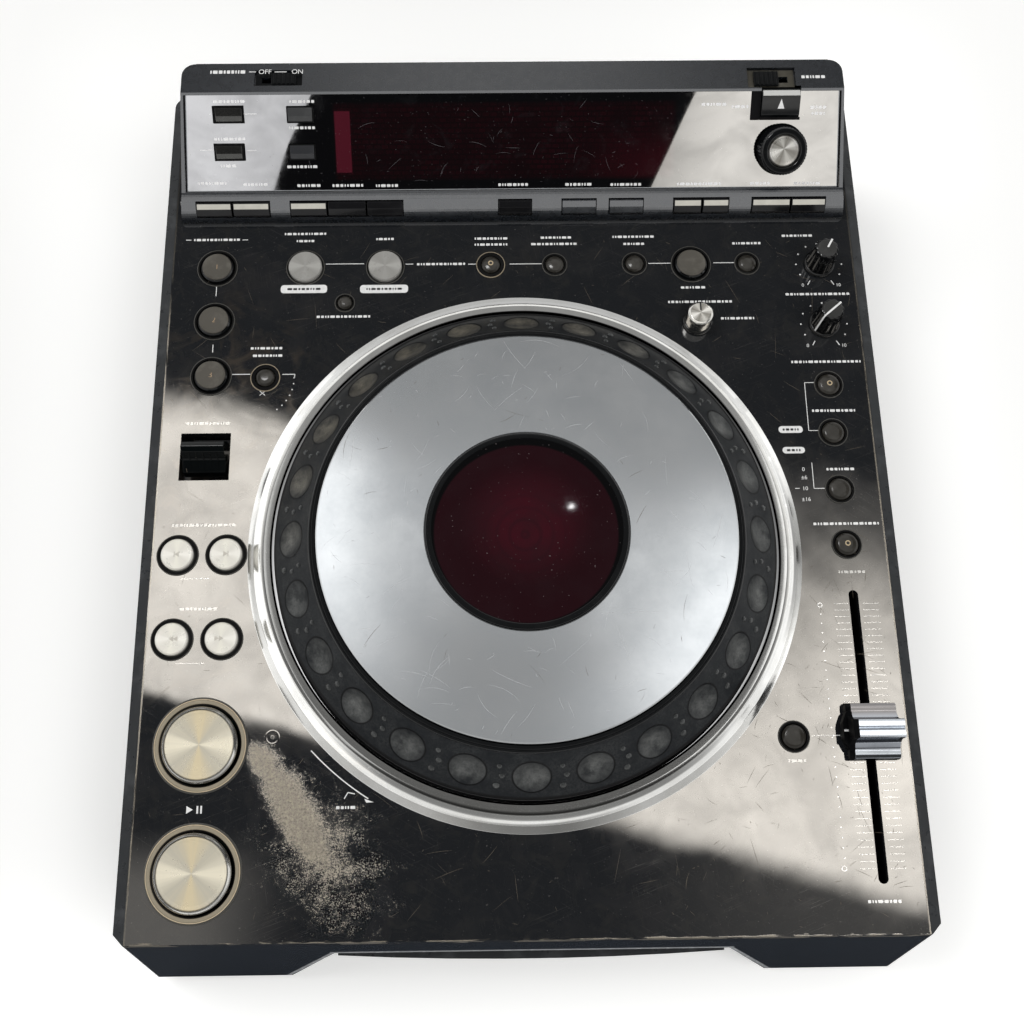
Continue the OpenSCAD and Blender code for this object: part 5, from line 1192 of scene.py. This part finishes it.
# Fader scale: y of a row's first and last line, and how far the lines reach to the right
SCALE_ROWS, SCALE_STEPS = ((-54.1, -95.1, 10.2), (-119.4, -160.1, 9.6)), 15
SCALE_DOTS, DOTS_TOP, DOTS_LENGTH, CENTRE_MARK = 27, -54.6, 105.3, -108.4


def knob_ticks(white, x, y):
    for k in range(11):
        a = math.radians(240 - 30 * k)
        if k in (0, 10):
            white.line(polar(x, y, TICK_R - 0.8, a), polar(x, y, TICK_R + 1.6, a), width=0.4)
        else:
            white.dot(*polar(x, y, TICK_R, a), 0.38)
    white.sign("0", x - 8.2, y - 10.6, 2.3)
    white.sign("10", x + 8.0, y - 10.6, 2.3)


def add_deck_print():
    white = Print("deck_print", on_deck(), "ink", "deck_paint")
    grey = Print("deck_print_grey", on_deck(), "ink_grey", "deck_paint")
    dark = Print("deck_print_dark", on_deck(), "ink_dark", "deck_paint", thickness=0.035)
    for label in DECK_LABELS:
        white.bar(*label)
    for label in GREY_LABELS:
        grey.bar(*label, 1.2)
    for x0, x1, y0, y1, length in BOXED_LABELS:
        white.box(x0, y0, x1, y1, 1.4)
        dark.bar((x0 + x1) / 2, (y0 + y1) / 2, length, 1.0)
    for x0, x1, y in DECK_RULES:
        white.line((x0, y), (x1, y))
    for points in DECK_LINES:
        white.line(*points)
    for points in THIN_LINES:
        white.line(*points, width=0.3)
    for k in range(7):
        white.dot(*polar(*DIRECTION_DOTS, DIRECTION_R, math.radians(2 - 9 * k)), 0.32)
    for text, y in RANGE_SIGNS:
        white.sign(text, RANGE_X, y, SIGN_SIZE)
    for node in POINTER_ANGLES:
        knob_ticks(white, *middle(node).xy)
    white.arc(*JOG_AXIS, SWEEP_R, SWEEP_FIRST, SWEEP_LAST, 0.45)
    x, y = polar(*JOG_AXIS, SWEEP_R, SWEEP_LAST + math.radians(0.8))
    white.area([(x + 0.8, y - 0.5), (x - 3.0, y + 0.9), (x - 2.2, y - 0.6)])
    white.line((-72.0, -130.8), (-70.6, -128.4), (-67.8, -129.0), width=0.4)
    x, y = PLAY_SIGN
    white.area([(x - 3.4, y - 1.5), (x - 0.8, y), (x - 3.4, y + 1.5)])
    for left in (0.6, 2.1):
        white.box(x + left, y - 1.5, x + left + 0.7, y + 1.5)
    for y in (-40.2, -76.0):
        grey.line((-142.5, y), (-130.8, y), width=0.3)
    add_fader_scale(white, grey)
    for sheet in (white, grey, dark):
        sheet.finish()


def add_fader_scale(white, grey):
    x = middle("fader_knob").x
    for top, bottom, reach in SCALE_ROWS:
        for k in range(SCALE_STEPS + 1):
            y = top + (bottom - top) * k / SCALE_STEPS
            grey.line((x - 8.6, y), (x - 2.6, y), width=0.26)
            grey.line((x + 3.4, y), (x + reach, y), width=0.26)
    white.circle(124.8, DOTS_TOP, 0.9)
    white.circle(124.3, DOTS_TOP - DOTS_LENGTH, 0.9)
    for k in range(1, SCALE_DOTS):
        white.dot(124.7, DOTS_TOP - DOTS_LENGTH * k / SCALE_DOTS, 0.28)
    grey.line((116.3, CENTRE_MARK), (124.6, CENTRE_MARK), width=0.3)
    white.line((124.6, CENTRE_MARK), (127.8, CENTRE_MARK))


NUMBERED = {"hot_cue_a_button": "1", "hot_cue_b_button": "2", "hot_cue_c_button": "3"}
RINGED = ("beat_down_button", "jog_mode_button", "key_lock_button")
# Which way the sign of a white button points, and whether it is a double arrow head
SKIPS = {"track_back_button": (-1, False), "track_next_button": (1, False), "search_back_button": (-1, True),
         "search_next_button": (1, True)}
SKIP_SIZE = 1.9


def print_on_cap(node, suffix, drop, look, slot):
    at, top = middle(node), button(node)[1]
    return Print(node + suffix, on_deck(at.x, at.y, top - drop), look, slot, node)


def add_cap_signs():
    for node, text in NUMBERED.items():
        mark = print_on_cap(node, "_number", 0.3, "cap_sign", "dark_cap")
        mark.sign(text, 0, 0, 4.0)
        mark.finish()
    for node, (direction, double) in SKIPS.items():
        mark = print_on_cap(node, "_sign", 0.12, "cap_mark", "pale_cap")
        step, half = direction * SKIP_SIZE, SKIP_SIZE * 0.6
        for share in (0.55, -0.4) if double else (0.5,):
            mark.area([(step * share, 0), (step * (share - 1), half), (step * (share - 1), -half)])
        if not double:
            mark.box(step * 0.55 - 0.2, -half, step * 0.55 + 0.2, half)
        mark.finish()
    for node in RINGED:
        mark = print_on_cap(node, "_ring", 0.05, "cap_ring", "dark_cap")
        mark.circle(0, 0, 0.95, 0.5)
        mark.finish()


SLIVER_STEPS, SLIVER_LIFT = 5, 0.012


class Field:
    """Part of a face: a rectangle less or plus a ring about a point."""

    def __init__(self, corner, size, centre=(0, 0), low=0.0, high=1e9):
        self.corner, self.size, self.centre, self.low, self.high = corner, size, centre, low, high

    def __call__(self, x, y):
        far = math.hypot(x - self.centre[0], y - self.centre[1])
        return (self.low < far < self.high and self.corner[0] < x < self.corner[0] + self.size[0]
                and self.corner[1] < y < self.corner[1] + self.size[1])


def hairlines(name, place, inside, count, seed, body, slot, look, lengths, width, bend=0.25):
    """Fine scratches: thin curved slivers on a face, where inside(x, y) allows them."""
    dice = random.Random(seed)
    shapes = []
    while len(shapes) < count:
        x, y = (inside.corner[0] + dice.random() * inside.size[0],
                inside.corner[1] + dice.random() * inside.size[1])
        length = lengths[0] + (lengths[1] - lengths[0]) * dice.random() ** 2.5
        heading, curve = dice.random() * math.pi, dice.uniform(-bend, bend) / max(4, length)
        line, at = [], Vector((x, y))
        for _ in range(SLIVER_STEPS + 1):
            line.append(at.copy())
            heading += curve * length / SLIVER_STEPS
            at += Vector((math.cos(heading), math.sin(heading))) * length / SLIVER_STEPS
        if not all(inside(p.x, p.y) for p in line):
            continue
        half = width * dice.uniform(0.5, 1.2) / 2
        left, right = [], []
        for k, p in enumerate(line):
            ahead = (line[min(k + 1, SLIVER_STEPS)] - line[max(k - 1, 0)]).normalized()
            side = Vector((-ahead.y, ahead.x)) * half * math.sin(math.pi * (k + 0.35) / (SLIVER_STEPS + 0.7))
            left.append(place @ Vector((*(p + side), SLIVER_LIFT)))
            right.append(place @ Vector((*(p - side), SLIVER_LIFT)))
        n = len(line)
        shapes.append((left + right, [(i, i + 1, n + i + 1, n + i) for i in range(n - 1)]))
    add_piece(name, shapes, look, body)


def add_hairlines():
    low, high = node_box("deck_panel")
    edge, clear = 3, BEZEL_R + 0.5
    deck = Field((low.x + edge, DECK_FRONT + edge), (high.x - low.x - 2 * edge, 300), JOG_AXIS, clear)
    right = Field((60, -175), (92, 135), JOG_AXIS, clear)
    disc = Field((JOG.x - PLATE_R, JOG.y - PLATE_R), (2 * PLATE_R, 2 * PLATE_R), JOG_AXIS,
                 LENS_R + 1.5, PLATE_R - 1)
    pane = Field((-100, 4), (160, 36))
    case = ("case", "deck_paint", "mark")
    plate, plate_slot = on_deck(0, 0, PLATE_TOP), ("jog_plate", "plate_aluminium")
    hairlines("deck_hairlines", on_deck(), deck, 260, 11, *case, (1.0, 15), 0.13)
    hairlines("deck_hairlines_right", on_deck(), right, 110, 12, *case, (1.0, 8), 0.17, 0.6)
    hairlines("plate_hairlines", plate, disc, 170, 13, *plate_slot, "mark_white", (1.5, 18), 0.1, 0.9)
    hairlines("plate_hairlines_dark", plate, disc, 40, 14, *plate_slot, "mark", (1.5, 14), 0.13, 0.7)
    hairlines("window_hairlines", on_window(0, 0, WINDOW_FACE), pane, 60, 15, "case", "window_smoke",
              "mark_faint", (0.5, 9), 0.09, 0.8)


def add_strip_print():
    white = Print("strip_print", on_strip(), "ink", "housing_plastic")
    white.bar(-126.8, 181.8, 15.5, 1.7)
    white.sign("OFF", -110.2, 181.7, 3.3)
    white.line((-117.4, 181.8), (-114.2, 181.8))
    white.line((-106.0, 181.7), (-100.6, 181.7))
    white.sign("ON", -95.8, 181.7, 3.3)
    white.bar(133.8, 177.1, 10.5, 1.5)
    white.finish()


WINDOW_LABELS = {
    "window_print": ("ink", (
        (-93, 2.75, 10.5), (-75.3, 2.65, 14), (-57.5, 2.45, 10), (0, 2.45, 13.5), (29.8, 2.3, 12),
        (51.5, 2.1, 14), (-94.5, 28.0, 11.5), (-95.5, 11.1, 13.5), (-93.9, 39.2, 11))),
    "window_print_grey": ("ink_pale", (
        (-126.2, 39.4, 14), (-127.2, 23.4, 14), (-128.8, 11.7, 7), (-136.8, 4.1, 13), (-117.2, 3.4, 11),
        (85, 2.1, 20), (112.9, 2.1, 9), (134.5, 2.0, 12), (89.6, 36.7, 11), (101.4, 35.6, 7.5),
        (136.4, 35.1, 7), (136.6, 32.5, 6)))}
WINDOW_RULES = ((-135.2, -134.6, 34.2), (-119.9, -114.2, 34.1), (-140.9, -134.7, 18.7),
                (-119.9, -115.4, 18.4))


def add_window_print():
    for name, (look, labels) in WINDOW_LABELS.items():
        sheet = Print(name, on_window(0, 0, WINDOW_FACE), look, "window_smoke")
        for label in labels:
            sheet.bar(*label, 1.2)
        for x0, x1, s in WINDOW_RULES if look == "ink_pale" else ():
            sheet.line((x0, s), (x1, s), width=0.3)
        sheet.finish()
    pane = frame["nodes"]["display_window"]
    corners = [pane.matrix_world @ v.co / MM for v in pane.data.vertices]
    rise = max(p.z for p in corners)
    foot, head = max(p.x for p in corners), max(p.x for p in corners if p.z > rise - 0.6)
    border = Print("window_border", on_window(0, 0, WINDOW_FACE), "edge_light", "window_smoke")
    seam = Print("window_seam", on_window(0, 0, WINDOW_FACE + 0.05), "black", "window_smoke")
    for sign in (-1, 1):
        for part, outer, inner, low, high in ((seam, 0.05, 0.85, 0.02, WINDOW_LENGTH - 0.1),
                                              (border, 0.85, 1.2, 0.5, WINDOW_LENGTH - 0.7)):
            part.area([(sign * (foot - outer), low), (sign * (foot - inner), low),
                       (sign * (head - inner), high), (sign * (head - outer), high)])
    key_low, key_high = node_box("eject_button")
    for left, right in ((0.9 - head, key_low.x - 4.8), (key_high.x + 1.2, head - 0.9)):
        border.box(left, WINDOW_LENGTH - 1.05, right, WINDOW_LENGTH - 0.7)
    border.box(0.9 - foot, 0.45, foot - 0.9, 0.75)
    border.finish()
    seam.box(0.1 - foot, 0.02, foot - 0.1, 0.45)
    seam.box(0.1 - head, WINDOW_LENGTH - 0.7, head - 0.1, WINDOW_LENGTH - 0.1)
    seam.finish()


# ---------------------------------------------------------------- floor and light
# Each card has a level of its own, so that none hides another
BAND_LEVEL, WINDOW_LEVEL, PLATE_LEVEL, LENS_LEVEL, CAP_LEVEL, STRIP_LEVEL = 620, 635, 605, 650, 590, 665
NOSE_LEVEL, KEY_LEVEL, SOFTBOX_LEVEL, BEZEL_LEVEL, FADER_LEVEL, GLEAM_LEVEL = 450, 435, 700, 614, 572, 642
BAND_GLOW, FADER_GLOW, SOFTBOX_GLOW, STRIP_GLOW, NOSE_GLOW, GLEAM_GLOW = 20.5, 2.6, 16.0, 1.65, 3.9, 16.0
KEY_GLOW, BEZEL_GLOW, PLATE_LOBES, GLINT_GLOW = 1.25, 0.82, 1.15, 90.0
# The light band on the deck: its edges lie at these values of y + BAND_SLOPE * x
BAND_SLOPE, BAND_TOP, BAND_BOTTOM = 0.28, 0.0, -129.5
# Places on the window's slope where a glare has its corners, its strength, colour and fading in x
WINDOW_GLARES = {
    "window_left": (((-156, -3), (-156, 46), (-87.4, 46), (-101, 21), (-110.4, -3)),
                    17.0, (0.98, 0.98, 1.0), (-150, -330, 0.8, 1.1)),
    "window_right": (((61.5, -3), (82.8, 46), (156, 46), (156, -3)),
                     18.0, (1.0, 0.965, 0.905), (110, 270, 0.3, 1.1))}
KEY_GLEAM = ((-100.6, 15.3), (-98.4, 17.1), (-96.6, 16.5), (-94.4, 18.1), (-91.6, 19.9), (-100.6, 19.9))
SOFTBOX = ((-330, 60), (-120, 60), (-120, 260), (-330, 260))
SPARKLING = ("brake_knob_body", "start_knob_body", "touch_knob_body", "direction_lever", "selector_ring")
LENS_GLINT_PX, GLINT_SIZE = (571, 506), 5
FLOOR_REACH, APRON, DARK_LIFT = 6000, 110, 0.4
ZENITH, HORIZON, FRONT_SHARE = 0.12, 1.15, 0.5


def mirrored(point, normal, height):
    """Where the camera's view, mirrored at a point of a glossy face, meets a level plane."""
    ray = (point - EYE).normalized()
    ray = ray - 2 * ray.dot(normal) * normal
    return point + ray * ((height - point.z) / ray.z)


def mirrored_in_window(places, height):
    return [mirrored(on_window(x, s) @ Vector(), window_out, height) for x, s in places]


def level_sheet(height, half_x=520, low_y=-420, high_y=620):
    return [(*corner, height) for corner in rectangle(-half_x, low_y, half_x, high_y)]


def add_sheet(name, corners, material, seen=False, receivers=()):
    """A flat stage object; an unseen one shows in reflections only, those of its receivers."""
    data = bpy.data.meshes.new(name)
    data.from_pydata([Vector(c) * MM for c in corners], [], [tuple(range(len(corners)))])
    data.materials.append(material)
    sheet = bpy.data.objects.new(name, data)
    scene.collection.objects.link(sheet)
    if not seen:
        sheet.visible_camera = sheet.visible_diffuse = sheet.visible_shadow = False
        sheet.visible_transmission = sheet.visible_volume_scatter = False
    if receivers:
        linked = bpy.data.collections.new(name + "_receivers")
        for piece in receivers:
            linked.objects.link(piece)
        sheet.light_linking.receiver_collection = linked


class Card(Graph):
    """A glowing clear sheet over the player that only the reflections in some pieces show."""

    def __init__(self, name, corners, receivers, strength=1.0, colour=(1, 1, 1), small=False):
        super().__init__(bpy.data.materials.new(name))
        if not small:
            self.owner.cycles.emission_sampling = "NONE"
        self.tree.nodes.remove(self.tree.nodes["Principled BSDF"])
        self.light = self.add("ShaderNodeEmission", {"Color": colour, "Strength": strength})
        clear = self.out("ShaderNodeBsdfTransparent", 0)
        both = self.out("ShaderNodeAddShader", 0, {0: Value(self, self.light.outputs[0]), 1: clear})
        self.put(self.tree.nodes["Material Output"].inputs["Surface"], both)
        add_sheet(name, corners, self.owner, False, receivers)

    def glow(self, strength):
        self.put(self.light.inputs["Strength"], strength)

    def seen_on(self, level, height):
        """The x and y of the point on a level face in which the camera sees this point."""
        share = (height - level) / (EYE.z - level)
        return self.axes((-EYE.x * share, -EYE.y * share, 0), 1 + share)[:2]


def add_light(name, place, aim, size, watts):
    data = bpy.data.lights.new(name, "AREA")
    data.shape = "RECTANGLE"
    data.size, data.size_y = size
    data.energy = watts
    light = bpy.data.objects.new(name, data)
    light.location = place
    light.rotation_euler = (Vector(aim) - Vector(place)).to_track_quat("-Z", "Y").to_euler()
    light.visible_glossy = False
    scene.collection.objects.link(light)


def add_floor():
    s = Surface("floor_paper", (0.96, 0.96, 0.95), 0.8)
    s.bump(s.noise(40.0), 0.05, 0.2)
    x, y, _ = s.axes()
    # Painted light: the floor glows more towards the right, at the front and round the player, where it lifts
    # the player's shadow
    s.feed("Emission Color", (1.0, 1.0, 0.99))
    s.feed("Emission Strength", 0.07 * x.soft(-60, 230) + 0.15 * y.soft(-130, -260)
           + 0.17 * abs(x).soft(300, 170) * y.soft(340, 230))
    s.owner.cycles.emission_sampling = "NONE"
    add_sheet("floor", level_sheet(0, FLOOR_REACH, -FLOOR_REACH, FLOOR_REACH), s.owner, True)


def add_world():
    """Studio with a dark ceiling and bright walls, dimmer in front."""
    scene.world = bpy.data.worlds.new("studio")
    sky = Graph(scene.world)
    _, y, z = sky.split(sky.out("ShaderNodeTexCoord", "Generated"))
    background = sky.tree.nodes["Background"]
    sky.put(background.inputs["Color"], (1.0, 0.995, 0.985))
    sky.put(background.inputs["Strength"],
            z.soft(0.42, 0.66, HORIZON, ZENITH) * y.soft(-0.15, -0.8, 1.0, FRONT_SHARE))


def add_deck_band():
    lacquer = [frame["nodes"]["deck_panel"], PIECES["deck_print"], PIECES["deck_print_grey"]]
    band = Card("deck_band", level_sheet(BAND_LEVEL), lacquer, colour=(1.0, 0.94, 0.85))
    x, y = band.seen_on(DECK_Z, BAND_LEVEL)
    across = y + x * BAND_SLOPE
    wavy = across + band.noise(110.0, 5.0, 0.6, 0.8).ramp(0.3, 0.7, -14, 14)
    blur = across + band.noise(60.0, 3.0).ramp(0.3, 0.7, -2, 2)
    left = x.soft(0, -90)
    right = 1.0 - left
    top = (left * wavy.soft(BAND_TOP + 13, BAND_TOP - 7)
           + right * wavy.soft(BAND_TOP + 54, BAND_TOP - 92))
    bottom = (left * blur.soft(BAND_BOTTOM - 2.5, BAND_BOTTOM + 3)
              + right * blur.soft(BAND_BOTTOM - 8, BAND_BOTTOM + 5))
    dim = 1.0 - 0.25 * x.soft(100, 155) * y.soft(-118, -165)
    side = 1.0 + 0.3 * x.soft(112, 140) * y.soft(-20, -60)
    patchy = band.noise(150.0, 5.0, 0.55, 0.6, centre=(-300, 90, 0)).ramp(0.3, 0.7, 0.86, 1.12)
    blotches = band.noise(38.0, 6.0, 0.68, 1.0, centre=(40, -60, 0)).ramp(0.36, 0.62, 0.8, 1.06)
    corner = 0.055 * x.soft(20, 130) * y.soft(-100, -170)
    low_left = 0.12 * x.soft(-90, -135) * y.soft(-140, -165)
    band.glow(BAND_GLOW * (top * bottom * dim * patchy * blotches * side + corner + low_left))


def add_window_glares():
    for name, (places, strength, colour, fading) in WINDOW_GLARES.items():
        sheet = Card(name, mirrored_in_window(places, WINDOW_LEVEL), [frame["nodes"]["display_window"]],
                     colour=colour)
        smears = sheet.noise(55.0, 5.0, 0.6, 0.7).ramp(0.3, 0.6, 0.72, 1.0)
        sheet.glow(strength * smears * sheet.axes()[0].soft(*fading))


def add_plate_glow():
    """Two bright lobes on the spun plate, left and right of the lens."""
    shine = Card("plate_glow", level_sheet(PLATE_LEVEL), [PIECES["jog_plate_disc"]],
                 colour=(0.985, 0.995, 1.0))
    x, y = shine.seen_on(DECK_Z + PLATE_TOP, PLATE_LEVEL)
    x, y = x - JOG.x, y - JOG.y
    away = (x * x + y * y).maths("SQRT")
    back = y * shine.maths("DIVIDE", 1.0, away)
    left = x.soft(-6, -18) * back.soft(0.62, 0.22) * back.soft(-0.95, -0.1)
    right = x.soft(6, 18) * back.soft(0.4, -0.3) * back.soft(-1.1, -0.6)
    cloud = shine.noise(130.0, 4.0).ramp(0.3, 0.7, 0.17, 0.3)
    shine.glow(cloud + PLATE_LOBES * away.soft(42, 78, 0.55, 1.25) * (left + right))


def add_cap_lights():
    caps = [p for key, p in PIECES.items() if key.endswith(("_cap", "_face", "_knob_body", "_ring_pair"))]
    light = Card("cap_glow", level_sheet(CAP_LEVEL), caps, colour=(1.0, 0.985, 0.95))
    light.glow(light.noise(90.0, 3.0).ramp(0.3, 0.7, 0.55, 1.5))
    grip = Card("fader_glow", level_sheet(FADER_LEVEL), [PIECES["fader_knob_body"]],
                colour=(1.0, 0.985, 0.965))
    _, y = grip.seen_on(DECK_Z + 13, FADER_LEVEL)
    grip.glow(FADER_GLOW * abs(y - middle("fader_knob").y).soft(16, 8))
    small = [p for key, p in PIECES.items()
             if key.startswith(SPARKLING) or p.data.materials[0] == M["small_cap"]]
    Card("softbox", [(x, y, SOFTBOX_LEVEL) for x, y in SOFTBOX], small, SOFTBOX_GLOW, small=True)


def add_housing_lights():
    housing = frame["nodes"]["display_housing"]
    strip = Card("strip_glow", level_sheet(STRIP_LEVEL, 420, 380, 900), [housing])
    x, _ = strip.seen_on(TOP_Z, STRIP_LEVEL)
    strip.glow(0.38 + STRIP_GLOW * abs(x + 10).soft(130, 20))
    keys = [p for key, p in PIECES.items() if key.startswith("ledge_keys")]
    grey = [p for p in keys if p.data.materials[0] == M["housing"]]
    nose = Card("nose_glow", level_sheet(NOSE_LEVEL, 1500, -2200, 240), [housing, *grey])
    nose.glow(NOSE_GLOW * nose.axes()[1].soft(-1900, -650, 0.25, 1.0))
    gleam = mirrored_in_window(KEY_GLEAM, GLEAM_LEVEL)
    Card("key_gleam", gleam, [PIECES["window_keys_right_caps_low"]], GLEAM_GLOW)
    bright = [p for p in keys if p.data.materials[0] == M["key_metal"]]
    Card("key_glow", level_sheet(KEY_LEVEL, 1500, -430, 60), bright, KEY_GLOW, (1.0, 0.99, 0.95))


def add_bezel_lights():
    bezel = [PIECES["jog_bezel_ring"]]
    ring = Card("bezel_glow", level_sheet(DECK_Z + 0.5, 175, -205, 150), bezel)
    x, y, _ = ring.axes((*JOG_AXIS, 0))
    back = y * ring.maths("DIVIDE", 1.0, ring.radius(JOG_AXIS))
    ring.glow(BEZEL_GLOW - 0.25 * back.soft(0.3, 0.95) + 0.3 * abs(x).soft(80, 115) + 0.3 * x.soft(-60, -105))
    flat = Card("bezel_sky", level_sheet(BEZEL_LEVEL), bezel)
    x, y = flat.seen_on(DECK_Z + BEZEL_TOP, BEZEL_LEVEL)
    front = y.soft(45, 10)
    flat.glow(0.2 * y.soft(-110, 0) + 1.1 * (x - y * 0.1).soft(106, 110) * front
              + 0.5 * x.soft(-100, -108) * front)


def add_lens_glint():
    top = seen_at(*LENS_GLINT_PX, DECK_Z + LENS_TOP)
    normal = (top - Vector((*JOG_AXIS, DECK_Z + LENS_TOP - LENS_BALL))).normalized()
    x, y, z = mirrored(top, normal, LENS_LEVEL)
    corners = [(x + dx * GLINT_SIZE, y + dy * GLINT_SIZE, z)
               for dx, dy in ((-1, -1), (1, -0.5), (1, 1), (0, 1))]
    Card("lens_glint", corners, [PIECES["jog_lens_dome"]], GLINT_GLOW, small=True)


def add_dark_floor():
    """Round the player, its glossy walls mirror a dark table."""
    low, high = (corner / MM for corner in cad_box)
    outline = rectangle(low.x - APRON, low.y - APRON, high.x + APRON, high.y + APRON)
    dark = Surface("dark_floor", (0.05, 0.055, 0.065), 1.0)
    add_sheet("dark_floor", [(*corner, DARK_LIFT) for corner in outline], dark.owner)


for add in (add_camera, add_jog, add_buttons, add_play_and_cue, add_pointer_knobs, add_touch_knob,
            add_selector, add_lever, add_fader, add_window_keys, add_ledge_keys, add_eject, add_sliders,
            add_front_band, add_deck_print, add_cap_signs, add_strip_print, add_window_print,
            add_hairlines, add_floor, add_world, add_deck_band, add_window_glares, add_plate_glow,
            add_cap_lights, add_housing_lights, add_bezel_lights, add_lens_glint, add_dark_floor):
    add()
add_light("key", (-0.9, 0.5, 1.7), (0, 0, 0.0), (1.1, 0.8), 17.0)
add_light("fill", (0.8, -0.8, 1.7), (0.1, -0.15, 0.0), (1.4, 1.0), 18.0)
scene.view_settings.view_transform = "Standard"
scene.cycles.min_light_bounces = 2
scene.cycles.min_transparent_bounces = 16
scene.cycles.transparent_max_bounces = 24
